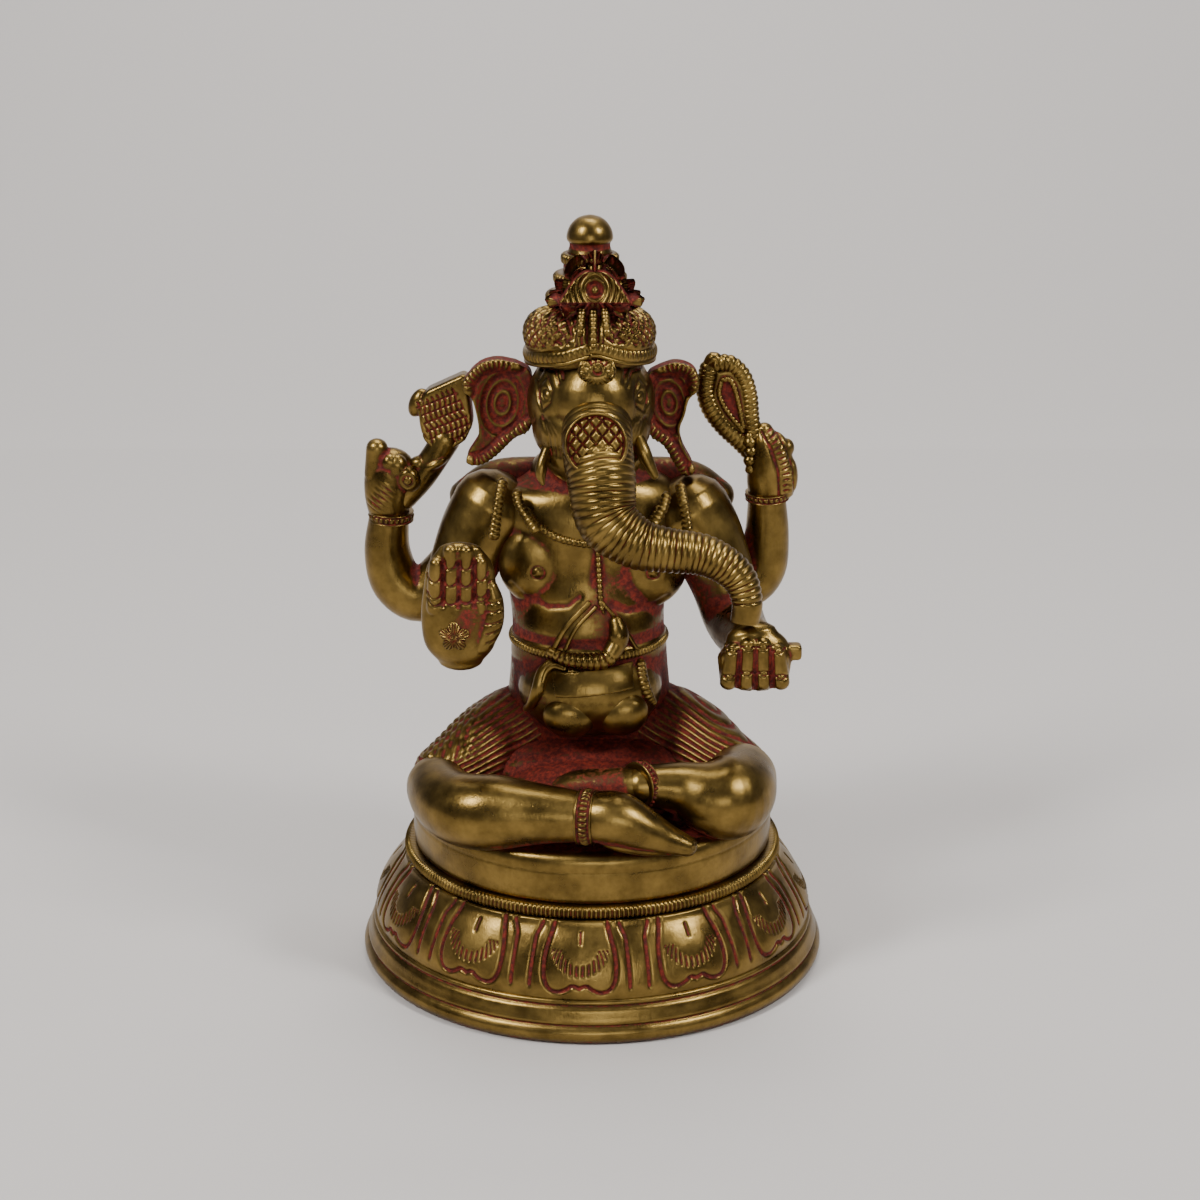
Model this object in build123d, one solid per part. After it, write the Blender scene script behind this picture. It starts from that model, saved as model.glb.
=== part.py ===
# A seated four-armed figure with an elephant's head, on an oval lotus base, in cast brass.
#
# Every element that the founder shapes by itself is a solid in a node of its own. Each is cut back where it
# seats on those made before it, so neighbours meet face to face and move together when a size changes.
# +Z is up, +X is to the right of someone facing the figure, and the figure faces -Y, so its right hand is at -X.
# The origin is at the middle of the base's underside. Lengths are in millimetres.

import os
from math import isclose, sqrt

from build123d import *

# ---- Driving dimensions --------------------------------------------------------------------------------------
# Pedestal. Its outlines are circles of these widths, narrowed along Y to the base's depth.
base_width = 100.0
base_depth = 92.0
base_height = 23.4
base_wall = 4.2
foot_height = 6.4
foot_lip = 3.4
lotus_slope = 10.6
rim_trim = 0.8
bead_ring_height = 2.6
bead_ring_proud = 0.9
seat_height = 10.6
seat_inset = 0.9
seat_roof = 4.6

# Legs and lap.
hip_half_width = 21.0
hip_half_depth = 17.0
hip_height = 33.4
thigh_radius = 10.2
knee_radius = 7.8
knee_spread = 31.6
knee_reach = 12.6
shin_radius = 7.2
shin_reach = 26.0
ankle_radius = 4.9
foot_length = 22.5
toe_radius = 2.5
lap_radii = (16.0, 12.0, 6.4)
band_width = 2.8
band_proud = 0.9

# Trunk of the body.
waist_half_width = 16.4
waist_half_depth = 15.4
chest_half_width = 20.4
chest_half_depth = 12.8
torso_height = 35.8
torso_back_shift = 4.6
waist_shift = 2.2
belly_radii = (15.6, 12.4, 10.4)
cape_size = (54.0, 8.4, 8.6)
cape_round = 3.4
cord_radius = 1.1
belt_height = 3.2
belt_proud = 1.2
snake_radius = 1.6
plate_size = (16.4, 4.6)

# Arms.
shoulder_radius = 8.0
upper_arm_radius = 6.6
elbow_radius = 6.1
wrist_radius = 4.5
shoulder_spread = 21.4
arm_drop = 19.6
forearm_reach = 17.4
rear_arm_radius = 6.0
rear_wrist_radius = 4.0
rear_elbow_spread = 37.6
rear_forearm_rise = 17.2
palm_width = 12.8
palm_height = 15.4
palm_thickness = 7.0
finger_length = 11.4
finger_count = 4
finger_share = 0.94
thumb_radius = 2.1
axe_size = (12.4, 5.6, 16.6)
noose_size = (10.0, 5.4, 19.0)
handle_radius = 2.6

# Head.
neck_radii = (9.6, 8.6, 6.4)
head_radii = (12.8, 12.2, 12.4)
jaw_radii = (10.6, 9.4, 8.4)
head_rise = 16.8
head_forward = 7.4
trunk_root_radius = 7.3
trunk_middle_radius = 4.6
trunk_tip_radius = 2.9
boss_radius = 7.1
boss_proud = 1.4
ear_radii = (6.3, 1.9, 9.0)
ear_lobe_radius = 2.5
tusk_length = 6.4
tusk_radius = 1.7
jewel_radius = 3.2
jewel_proud = 1.3

# Crown.
crown_lean = -0.5
crown_radii = (13.3, 12.8, 8.8)
crown_rise = 11.6
crown_skirt = 3.2
lobe_radius = 5.4
tier_count = 3
tier_height = 3.85
tier_step = 1.55
tier_lip = 1.0
tier_lip_height = 1.6
tier_low_radius = 7.9
finial_neck_radius = 4.2
finial_neck_height = 2.0
finial_cap_radius = 4.5
finial_cap_height = 5.4
rosette_width = 11.6
rosette_height = 10.0
rosette_depth = 6.0
strand_radius = 0.9
strand_pitch = 2.1

# ---- Levels that follow from them ----------------------------------------------------------------------------
oval = base_depth / base_width
foot_rim = base_width / 2
ring_radius = foot_rim - lotus_slope
hollow_radius = ring_radius - base_wall
seat_bottom = base_height + bead_ring_height
seat_top = seat_bottom + seat_height
seat_radius = ring_radius - seat_inset
waist_level = seat_top + hip_height
neck_level = waist_level + torso_height
shoulder_level = neck_level - shoulder_radius
head = (0.2, torso_back_shift - head_forward, neck_level + head_rise)
crown = (head[0] + crown_lean, head[1] + 2.2, head[2] + crown_rise)
tier_level = crown[2] + sqrt(1 - (tier_low_radius / crown_radii[0]) ** 2) * crown_radii[2] - 0.6
sides = (("right", -1), ("left", 1))

solids = {}
boxes = {}


# ---- Shapes --------------------------------------------------------------------------------------------------
def egg(centre, radii, turn=(0, 0, 0)):
    # A ball stretched to three radii, turned about X, Y and Z.
    return Pos(*centre) * Rot(*turn) * scale(Sphere(1), by=radii)


def limb(points, radii, round_start=True, round_end=True):
    # A smooth tapered limb through a round section at each point, with rounded ends.
    places = [Vector(*point) for point in points]
    sizes = list(radii)
    if round_start:
        back = (places[0] - places[1]).normalized() * sizes[0]
        places = [places[0] + back * 0.93, places[0] + back * 0.6, *places]
        sizes = [sizes[0] * 0.34, sizes[0] * 0.79, *sizes]
    if round_end:
        ahead = (places[-1] - places[-2]).normalized() * sizes[-1]
        places = [*places, places[-1] + ahead * 0.6, places[-1] + ahead * 0.93]
        sizes = [*sizes, sizes[-1] * 0.79, sizes[-1] * 0.34]
    sections = []
    side = Vector(0.3, 0.2, 1.0)
    for i, place in enumerate(places):
        along = (places[min(i + 1, len(places) - 1)] - places[max(i - 1, 0)]).normalized()
        side = (side - along * side.dot(along)).normalized()
        sections.append(Plane(origin=place, x_dir=side, z_dir=along) * Circle(sizes[i]))
    return loft(sections)


def jointed(points, radii):
    # A limb of straight tapered bones with a round joint at each point.
    places = [Vector(*point) for point in points]
    body = Pos(places[0]) * Sphere(radii[0])
    for i in range(1, len(places)):
        start, end = places[i - 1], places[i]
        length = (end - start).length
        same = isclose(radii[i - 1], radii[i])
        bone = Cylinder(radii[i], length) if same else Cone(radii[i - 1], radii[i], length)
        body = body + Plane(origin=(start + end) * 0.5, z_dir=end - start) * bone + Pos(end) * Sphere(radii[i])
    return body


def spun(*lines):
    # The solid that a closed outline of (radius, height) lines sweeps when it is turned about Z.
    edges = [edge for line in lines for edge in line.edges()]
    return revolve(Plane.XZ * make_face(edges), axis=Axis.Z)


def turned(centre, outline):
    # A turned piece, solid to its axis, whose side joins the given (radius, height) points.
    points = [(0, outline[0][1]), *outline, (0, outline[-1][1])]
    return Pos(*centre) * spun(Polyline(*points, close=True))


def band(centre, along, radius):
    # A short tube round a limb of this radius, which later loses what the limb fills.
    return Plane(origin=centre, z_dir=along) * Cylinder(radius + band_proud, band_width)


def towards(start, end, share):
    # The point a share of the way from one point to another.
    return tuple(a + (b - a) * share for a, b in zip(start, end))


def boxes_meet(first, second):
    a, b = first, second
    lows = (a.min.X <= b.max.X, a.min.Y <= b.max.Y, a.min.Z <= b.max.Z)
    highs = (b.min.X <= a.max.X, b.min.Y <= a.max.Y, b.min.Z <= a.max.Z)
    return all(lows + highs)


def keep(name, *shapes):
    # Cuts each shape back where it meets the pieces made before it, drops the crumbs that a cut leaves, and
    # keeps the result under a name.
    kept = []
    for shape in shapes:
        own_box = shape.bounding_box()
        for earlier, box in boxes.items():
            if boxes_meet(own_box, box):
                shape = shape - solids[earlier]
        kept.append(max(shape.solids(), key=lambda body: body.volume))
    solids[name] = Compound(children=kept) if len(kept) > 1 else kept[0]
    boxes[name] = solids[name].bounding_box()


# ---- Pedestal ------------------------------------------------------------------------------------------------
def make_pedestal():
    petal_foot = foot_rim - foot_lip
    swell = ((petal_foot + ring_radius) / 2 + 1.6, (foot_height + base_height) / 2 + 1.8)
    low = -rim_trim
    edge = Polyline((0, low), (foot_rim - 1.2, low), (foot_rim - 1.2, 0), (foot_rim, 1.2))
    bend = ThreePointArc(edge @ 1, (foot_rim - 0.4, foot_height * 0.6), (petal_foot, foot_height))
    slope = ThreePointArc(bend @ 1, swell, (ring_radius, base_height))
    top = Polyline(slope @ 1, (0, base_height), (0, low))
    outside = spun(edge, bend, slope, top)
    hollow = turned(
        (0, 0, 0),
        [(petal_foot - base_wall, low), (petal_foot - base_wall, foot_height), (hollow_radius, base_height)],
    )
    # The rim that it stands on is ground flat at the end.
    ground = Pos(0, 0, -rim_trim) * Box(2 * base_width, 2 * base_width, 2 * rim_trim)
    keep("lotus_base", scale(outside - hollow, by=(1, oval, 1)) - ground)

    low = Line((hollow_radius, base_height), (ring_radius, base_height))
    bulge = (ring_radius + bead_ring_proud, (base_height + seat_bottom) / 2)
    round_edge = ThreePointArc(low @ 1, bulge, (ring_radius, seat_bottom))
    back = Polyline(round_edge @ 1, (hollow_radius, seat_bottom), low @ 0)
    ring = spun(low, round_edge, back)
    keep("bead_ring", scale(ring, by=(1, oval, 1)))

    low = Line((0, seat_bottom), (seat_radius - 0.4, seat_bottom))
    bulge = (seat_radius, seat_bottom + seat_height * 0.45)
    side = ThreePointArc(low @ 1, bulge, (seat_radius - 1.2, seat_top - 0.9))
    lip = Polyline(side @ 1, (seat_radius - 2.4, seat_top), (0, seat_top), low @ 0)
    block = spun(low, side, lip)
    roof = seat_top - seat_roof
    cavity = turned((0, 0, 0), [(hollow_radius, seat_bottom), (hollow_radius - 3, roof)])
    keep("seat_block", scale(block - cavity, by=(1, oval, 1)))


# ---- Legs and lap --------------------------------------------------------------------------------------------
def make_lower_body():
    stations = [
        (seat_top, hip_half_width + 2, hip_half_depth + 1, 2.0),
        (seat_top + hip_height * 0.28, hip_half_width, hip_half_depth, 2.0),
        (seat_top + hip_height * 0.6, waist_half_width + 0.9, waist_half_depth + 0.6, waist_shift),
        (waist_level, waist_half_width, waist_half_depth, waist_shift),
    ]
    keep("hips", loft([Pos(0, y, z) * Ellipse(rx, ry) for z, rx, ry, y in stations]))
    keep("belly", egg(belly_centre, belly_radii))

    knee_level = seat_top + knee_radius - 2.4
    thigh_level = seat_top + thigh_radius - 1.8
    for side, sign in sides:
        root = (sign * hip_half_width * 0.45, 3.0, thigh_level + 3.4)
        middle = (sign * (hip_half_width * 0.45 + knee_spread) / 2, 0.0, thigh_level + 1.0)
        knee = (sign * knee_spread, -knee_reach, knee_level)
        keep(f"{side}_thigh", limb([root, middle, knee], [thigh_radius, thigh_radius * 0.97, knee_radius]))

    # The right shin lies in front, and its foot points to the figure's left. The left one is tucked behind.
    right_knee = (1.7 - knee_spread, -knee_reach - 6.4, knee_level + 0.2)
    right_calf = (12.4 - knee_spread, -shin_reach + 0.6, seat_top + shin_radius - 0.4)
    right_ankle = (-1.0, -shin_reach - 4.6, seat_top + ankle_radius + 1.6)
    instep = (foot_length * 0.5, right_ankle[1] - 1.6, seat_top + ankle_radius - 0.4)
    toe = (foot_length - toe_radius, right_ankle[1] - 3.0, seat_top + toe_radius - 0.4)
    calf_radii = [knee_radius - 0.2, shin_radius, ankle_radius]
    keep("right_shin", limb([right_knee, right_calf, right_ankle], calf_radii, round_end=False))
    foot_radii = [ankle_radius, ankle_radius - 0.4, toe_radius]
    keep("right_foot", limb([right_ankle, instep, toe], foot_radii))
    left_knee = (knee_spread - 1.7, -knee_reach - 5.0, knee_level + 0.6)
    left_calf = (knee_spread - 10.0, -shin_reach + 4.4, seat_top + shin_radius + 1.0)
    left_ankle = (8.8, -shin_reach + 3.0, seat_top + ankle_radius + 5.2)
    left_toe = (8.8 - foot_length * 0.6, -shin_reach + 6.6, seat_top + ankle_radius + 2.6)
    left_path = [left_ankle, towards(left_ankle, left_toe, 0.5), left_toe]
    left_radii = [ankle_radius, ankle_radius - 0.5, toe_radius + 1]
    keep("left_shin", limb([left_knee, left_calf, left_ankle], calf_radii, round_end=False))
    keep("left_foot", limb(left_path, left_radii, round_start=False))
    keep("lap_cloth", egg((0, -shin_reach + 12.5, seat_top + 5.0), lap_radii))
    for side, calf, ankle in (("right", right_calf, right_ankle), ("left", left_calf, left_ankle)):
        along = Vector(*ankle) - Vector(*calf)
        keep(f"{side}_anklet", band(towards(calf, ankle, 0.9), along, ankle_radius + 0.45))


# ---- Torso ---------------------------------------------------------------------------------------------------
# Each section: the share of the torso's height, half its width, half its depth, and the place of its middle.
torso_sections = (
    (0.0, waist_half_width, waist_half_depth, waist_shift),
    (0.24, waist_half_width + 0.8, (waist_half_depth + chest_half_depth) / 2 - 0.6, torso_back_shift - 1.2),
    (0.5, (waist_half_width + chest_half_width) / 2 + 0.4, chest_half_depth - 0.6, torso_back_shift),
    (0.72, chest_half_width, chest_half_depth, torso_back_shift),
    (0.88, chest_half_width - 1.0, chest_half_depth - 1.6, torso_back_shift),
    (1.0, chest_half_width - 7.4, chest_half_depth - 4.4, torso_back_shift),
)
belly_centre = (-0.4, waist_shift - 6.6, waist_level - belly_radii[2] + 1.8)


def on_body(x, z, lift=0.0):
    # The point on the front of the body at this place, moved out of it by lift.
    share = min(max((z - waist_level) / torso_height, 0.0), 1.0)
    front = 0.0
    for low, high in zip(torso_sections, torso_sections[1:]):
        if low[0] <= share <= high[0]:
            part = (share - low[0]) / (high[0] - low[0])
            half_width, half_depth, shift = (low[k] + (high[k] - low[k]) * part for k in (1, 2, 3))
            front = shift - half_depth * sqrt(max(1 - (x / half_width) ** 2, 0.02))
    rx, ry, rz = belly_radii
    inside = 1 - ((x - belly_centre[0]) / rx) ** 2 - ((z - belly_centre[2]) / rz) ** 2
    if inside > 0:
        front = min(front, belly_centre[1] - ry * sqrt(inside))
    return (x, front - lift, z)


def make_torso():
    places = [(waist_level + share * torso_height, rx, ry, y) for share, rx, ry, y in torso_sections]
    keep("torso", loft([Pos(0, y, z) * Ellipse(rx, ry) for z, rx, ry, y in places]))
    neck_centre = (0, torso_back_shift - 2.4, neck_level + neck_radii[2] * 0.4)
    keep("neck", egg(neck_centre, neck_radii))
    cape = fillet(Box(*cape_size).edges(), cape_round)
    cape_centre = Pos(0, torso_back_shift + cape_size[1] * 0.6, neck_level - cape_size[2] / 2 + 0.8)
    keep("shoulder_cape", cape_centre * cape)


def make_arms():
    elbow_level = shoulder_level - arm_drop
    radii = [shoulder_radius, upper_arm_radius, elbow_radius, wrist_radius]
    for side, sign in sides:
        shoulder = (sign * shoulder_spread, torso_back_shift - 1.6, shoulder_level)
        upper = (sign * (shoulder_spread + 4.6), torso_back_shift - 2.4, elbow_level + arm_drop * 0.46)
        elbow = (sign * (shoulder_spread + 7.0), torso_back_shift - 6.4, elbow_level)
        wrist = (sign * (shoulder_spread + 7.6 + sign * 2), elbow[1] - forearm_reach, elbow_level + 1.6)
        keep(f"front_{side}_arm", jointed([shoulder, upper, elbow, wrist], radii))
        joints[f"front_{side}"] = wrist

    back = torso_back_shift + 4.4
    thick = rear_arm_radius
    radii = [thick, thick + 0.2, thick, thick - 0.7, rear_wrist_radius]
    for side, sign in sides:
        spread = rear_elbow_spread - (1 + sign) * 1.1
        lift = (1 + sign) * 1.6
        shoulder = (sign * 17.0, back, shoulder_level - 1)
        upper = (sign * (spread - 11), back, shoulder_level - 12)
        elbow = (sign * spread, back, shoulder_level - 20.6 + lift)
        middle = (sign * (spread + 5.6), back, elbow[2] + rear_forearm_rise * 0.5)
        wrist = (sign * (spread + 4.6 - (1 + sign) * 1.2), back, elbow[2] + rear_forearm_rise)
        path = [shoulder, upper, elbow, middle, wrist]
        keep(f"rear_{side}_arm", jointed(path, radii))
        joints[f"rear_{side}"] = wrist


joints = {}


def finger(start, end, radius):
    # A straight finger with round ends.
    first, last = Vector(*start), Vector(*end)
    shaft = Plane(origin=(first + last) * 0.5, z_dir=last - first) * Cylinder(radius, (last - first).length)
    return shaft + Pos(first) * Sphere(radius) + Pos(last) * Sphere(radius)


def make_hands():
    pitch = palm_width / finger_count
    radius = pitch * finger_share / 2
    steps = [i - (finger_count - 1) / 2 for i in range(finger_count)]

    # Front right: upright with its palm to the front.
    x, y, z = joints["front_right"]
    middle = (x, y - palm_thickness * 0.55, z + palm_height * 0.16)
    palm_round = palm_thickness * 0.42
    hand = Pos(*middle) * fillet(Box(palm_width, palm_thickness, palm_height + 2).edges(), palm_round)
    for step in steps:
        length = finger_length - abs(step - 0.3) * 1.2
        root = (middle[0] + step * pitch, middle[1] - 0.6, middle[2] + palm_height * 0.2)
        hand += finger(root, (root[0] + 0.8, root[1] - 0.8, root[2] + length), radius)
    thumb = (middle[0] + palm_width * 0.4, middle[1] - 0.8, middle[2] - palm_height * 0.2)
    hand += finger(thumb, (thumb[0] + 2.4, thumb[1] - 0.8, thumb[2] + palm_height * 0.55), thumb_radius)
    keep("front_right_hand", hand)
    flower = Plane(origin=(middle[0] - 0.4, middle[1] - palm_thickness * 0.5, middle[2] - 0.4), z_dir=(0, -1, 0))
    keep("palm_flower", flower * Cylinder(palm_width * 0.24, 2.4))

    # Front left: held out with its palm to the front and its fingers down, under the tip of the trunk.
    x, y, z = joints["front_left"]
    middle = (x, y - palm_thickness * 0.7, z - 1.2)
    hand = Pos(*middle) * fillet(Box(palm_width + 1, palm_thickness, palm_height * 0.7).edges(), palm_round)
    for step in steps:
        root = (middle[0] + step * pitch * 1.04, middle[1] - 1.6, middle[2] - 0.8)
        hand += finger(root, (root[0], root[1] - 0.6, root[2] - finger_length * 0.5), radius)
    thumb = (middle[0] + palm_width * 0.4, middle[1], middle[2] - 1.0)
    hand += finger(thumb, (thumb[0] + 3.4, thumb[1] - 0.4, thumb[2] + 0.2), thumb_radius)
    keep("front_left_hand", hand)
    joints["palm_top"] = (middle[0] - 1.4, middle[1] - 0.6, middle[2] + palm_height * 0.35)

    # Rear right: a fist that grips the axe's handle.
    x, y, z = joints["rear_right"]
    fist = egg((x + 0.2, y - 0.4, z + 7.4), (5.4, 4.6, 8.6))
    fist += finger((x - 2.6, y - 1, z + 10), (x - 2.4, y - 1, z + 15.4), thumb_radius)
    keep("rear_right_hand", fist)
    across, deep, tall = axe_size
    top = (x + 11.4, y - 0.4, z + 13.0 + tall / 2)
    block = fillet(Box(across, deep, tall).edges(), deep * 0.4)
    grip = finger((x + 4.0, y - 0.8, z + 8.0), towards((x + 4.0, y - 0.8, z + 8.0), top, 0.8), handle_radius)
    keep("axe", Pos(*top) * Rot(0, 24, 0) * block + grip)

    # Rear left: a hand that holds the noose by its tail.
    x, y, z = joints["rear_left"]
    fist = egg((x + 0.6, y - 0.4, z + 6.8), (4.8, 4.4, 8.4))
    fist += finger((x - 1.6, y - 1, z + 8), (x - 2.4, y - 1, z + 13.4), thumb_radius)
    keep("rear_left_hand", fist)
    across, deep, tall = noose_size
    top = (x - 8.6, y - 0.4, z + 13.4 + tall / 2)
    tail = finger((x - 2.6, y - 0.8, z + 8.0), towards((x - 2.6, y - 0.8, z + 8.0), top, 0.7), handle_radius)
    loop = egg(top, (across / 2, deep / 2, tall / 2), (0, -24, 0))
    knob = finger((top[0] - 2.4, top[1], top[2] + tall * 0.4), (top[0] - 4.4, top[1], top[2] + tall * 0.5), 1.8)
    keep("noose", loop + tail + knob)


def make_bands():
    outward = {
        "rear_right": ((0.05, 0, 1), rear_wrist_radius),
        "rear_left": ((0.05, 0, 1), rear_wrist_radius),
    }
    for name, (along, radius) in outward.items():
        centre = Vector(*joints[name]) - Vector(*along).normalized() * band_width * 0.6
        keep(f"{name}_bracelet", band(centre, along, radius + 0.5))


def make_ornaments():
    # The snake that ties the waist, the belt and what hangs from it, then the cords on the chest.
    low = waist_level - belt_height * 0.5
    snake = [
        on_body(-waist_half_width * 0.7, low + 0.4, 0.6),
        on_body(-waist_half_width * 0.3, low, 0.6),
        on_body(1.0, low + 0.6, 0.8),
        on_body(4.6, low + 3.6, 1.2),
        on_body(6.0, low + 6.6, 1.4),
    ]
    thick = snake_radius
    keep("snake_belt", limb(snake, [thick * 0.8, thick, thick, thick * 1.1, thick]))
    across = (waist_half_width + belt_proud, waist_half_depth + belt_proud)
    keep("waist_belt", Pos(0, waist_shift, low) * extrude(Ellipse(*across), belt_height))
    tabs = []
    for _, sign in sides:
        x = sign * waist_half_width * 0.66
        points = [on_body(x, low - drop, 0.5) for drop in (0.4, 4.6, 8.8)]
        tabs.append(limb(points, [cord_radius * 1.4] * 3))
    keep("belt_tabs", *tabs)
    plate_middle = on_body(0.4, low - plate_size[1] * 0.6, -1.2)
    plate = fillet(Box(plate_size[0], 5.0, plate_size[1]).edges(), 0.8)
    keep("belly_plate", Pos(*plate_middle) * plate)

    chest = neck_level - 11.0
    strand = [on_body(0.4, chest - drop, 0.5) for drop in (0, 6, 12, 17)]
    keep("chest_strand", limb(strand, [cord_radius] * 4))
    straps = []
    for _, sign in sides:
        points = [on_body(0.4 + sign * x, chest - drop, 0.4) for x, drop in ((1.6, 14), (4.4, 17.4), (8.0, 21.4))]
        straps.append(limb(points, [cord_radius] * 3))
    keep("sacred_thread", *straps)
    tassels = []
    for _, sign in sides:
        for x in (14.0, 17.8):
            points = [on_body(sign * x, neck_level - drop, 0.7) for drop in (3.4, 8.0, 13.0)]
            tassels.append(limb(points, [cord_radius * 1.3] * 3))
    keep("shoulder_tassels", *tassels)
    hang = ((-12.4, 3.6), (-7.6, 7.0), (0, 9.4), (7.6, 7.0), (12.4, 3.6))
    collar = [on_body(x, neck_level - drop, 0.7) for x, drop in hang]
    keep("necklace", limb(collar, [cord_radius * 1.2] * 5))


# ---- Head ----------------------------------------------------------------------------------------------------
def make_head():
    x, y, z = head
    jaw = (x + 0.8, y - 3.4, z - 9.4)
    keep("head", egg(head, head_radii) + egg(jaw, jaw_radii))

    tip = joints["palm_top"]
    root, mid, end = trunk_root_radius, trunk_middle_radius, trunk_tip_radius
    bend = (x + 3.2, y - 18.6, z - 18.8)
    turn = (tip[0] - 2.2, tip[1], tip[2] + 10.4)
    path = [
        (x + 1.2, y - 6.0, z + 1.0),
        (x + 1.9, y - 12.4, z - 4.6),
        (x + 2.2, y - 16.6, z - 11.6),
        bend,
        (x + 7.6, y - 20.6, z - 23.4),
        towards((x + 7.6, y - 20.6, z - 23.4), turn, 0.36),
        towards((x + 7.6, y - 21.6, z - 24.0), turn, 0.72),
        turn,
        (tip[0], tip[1], tip[2] + 5.6),
        (tip[0], tip[1], tip[2] - 0.7),
    ]
    radii = [root * 0.9, root, root, root * 0.93, (root + mid) / 2, mid, mid * 0.9, end * 1.2, end * 1.06, end]
    keep("trunk", limb(path, radii, round_start=False, round_end=False))
    boss_axis = (0.06, -1, 0.12)
    boss_centre = Vector(x + 2.0, y - 13.0, z - 5.6) + Vector(*boss_axis).normalized() * (root - 1)
    button = Plane(origin=boss_centre, z_dir=boss_axis) * Cylinder(boss_radius, boss_proud * 4)
    cushion = egg((x + 2.0, y - 13.0, z - 5.6), (root + boss_proud,) * 3)
    keep("trunk_boss", button & cushion)

    for side, sign in sides:
        centre = (x + sign * (head_radii[0] + ear_radii[0] * 0.86), y + 4.4, z - 1.4)
        fan = egg(centre, ear_radii, (0, sign * 8, sign * -12))
        lobe_top = (centre[0] + sign * 0.6, centre[1], centre[2] - ear_radii[2] * 0.7)
        lobe_low = (centre[0] + sign * 3.0, centre[1] + 1.4, neck_level + ear_lobe_radius)
        lobe = limb([lobe_top, lobe_low], [ear_lobe_radius, ear_lobe_radius * 0.9])
        keep(f"{side}_ear", fan + lobe)
        start = (jaw[0] + sign * (jaw_radii[0] - 2.2), jaw[1] - 4.6, jaw[2] + 1.2)
        point = (start[0] + sign * 2.0, start[1] - 3.0, start[2] - tusk_length * 0.8)
        keep(f"{side}_tusk", limb([start, point], [tusk_radius * 1.2, tusk_radius]))


# ---- Crown ---------------------------------------------------------------------------------------------------
def make_crown():
    x, y, z = crown
    dome = egg(crown, crown_radii)
    tall = crown_radii[2] + crown_skirt
    window = Pos(x, y, z - crown_skirt + tall / 2) * Box(4 * crown_radii[0], 4 * crown_radii[1], tall)
    keep("crown_dome", dome & window)
    for side, sign in sides:
        lobe = egg((x + sign * 7.6, y - 7.4, z + 2.6), (lobe_radius, lobe_radius * 0.9, lobe_radius * 0.84))
        keep(f"{side}_crown_lobe", lobe)

    name_of = ("low", "middle", "high")
    for i in range(tier_count):
        radius = tier_low_radius - i * tier_step
        ledge = tier_height - tier_lip_height
        outline = [(radius, 0), (radius, ledge), (radius + tier_lip, ledge), (radius + tier_lip, tier_height)]
        keep(f"crown_tier_{name_of[i]}", turned((x, y, tier_level + i * tier_height), outline))
    neck = tier_level + tier_count * tier_height
    cap = neck + finial_neck_height
    stem = turned((x, y, neck), [(finial_neck_radius, 0), (finial_neck_radius, finial_neck_height)])
    knob = egg((x, y, cap), (finial_cap_radius, finial_cap_radius, finial_cap_height))
    upper = Pos(x, y, cap + finial_cap_height / 2) * Box(20, 20, finial_cap_height)
    keep("crown_finial", stem + (knob & upper))

    half = rosette_width / 2
    corners = [(-half, 0), (half, 0), (half * 0.5, rosette_height * 0.62), (0, rosette_height)]
    corners.append((-half * 0.5, rosette_height * 0.62))
    front = y - tier_low_radius - rosette_depth * 0.62
    stand = Plane(origin=(x + 0.6, front, tier_level - 0.4), x_dir=(1, 0, 0), z_dir=(0, -1, 0.34))
    keep("crown_rosette", stand * extrude(make_face(Polyline(*corners, close=True)), -rosette_depth))
    strands = []
    for i in (-1, 0, 1):
        across = x + i * strand_pitch
        high = (across, y - crown_radii[1] * 0.74, z + crown_radii[2] * 0.72)
        low = (across, y - crown_radii[1] * 1.02, z + crown_radii[2] * 0.1)
        strands.append(limb([high, towards(high, low, 0.5), low], [strand_radius] * 3))
    keep("crown_strands", *strands)
    swags = []
    for _, sign in sides:
        middle = (x + sign * 3.6, y - crown_radii[1] * 1.0, z + 0.4)
        side = (x + sign * 9.6, y - crown_radii[1] * 0.74, z - 2.2)
        back = (x + sign * 13.4, y - 2.0, z - 2.4)
        swags.append(limb([middle, side, back], [strand_radius * 1.3] * 3))
    keep("crown_bands", *swags)
    hx, hy, hz = head
    pose = (0.04, -1, 0.55)
    button = Plane(origin=(hx + 1.0, hy - head_radii[1] * 0.82, hz + head_radii[2] * 0.66), z_dir=pose)
    keep("brow_jewel", button * Cylinder(jewel_radius, jewel_proud * 2))


make_pedestal()
make_lower_body()
make_torso()
make_arms()
make_hands()
make_bands()
make_ornaments()
make_head()
make_crown()

os.makedirs("parts", exist_ok=True)
for name, shape in solids.items():
    export_step(shape, f"parts/{name}.step")
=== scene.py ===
# A seated four-armed figure with an elephant's head, cast in brass, on an oval lotus base.
# Lengths here are in millimetres in the CAD frame, and each piece is scaled to metres when it is finished.
from math import cos, pi, radians, sin, sqrt

import bpy
import numpy as np
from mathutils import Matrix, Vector
from mathutils.bvhtree import BVHTree


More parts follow.
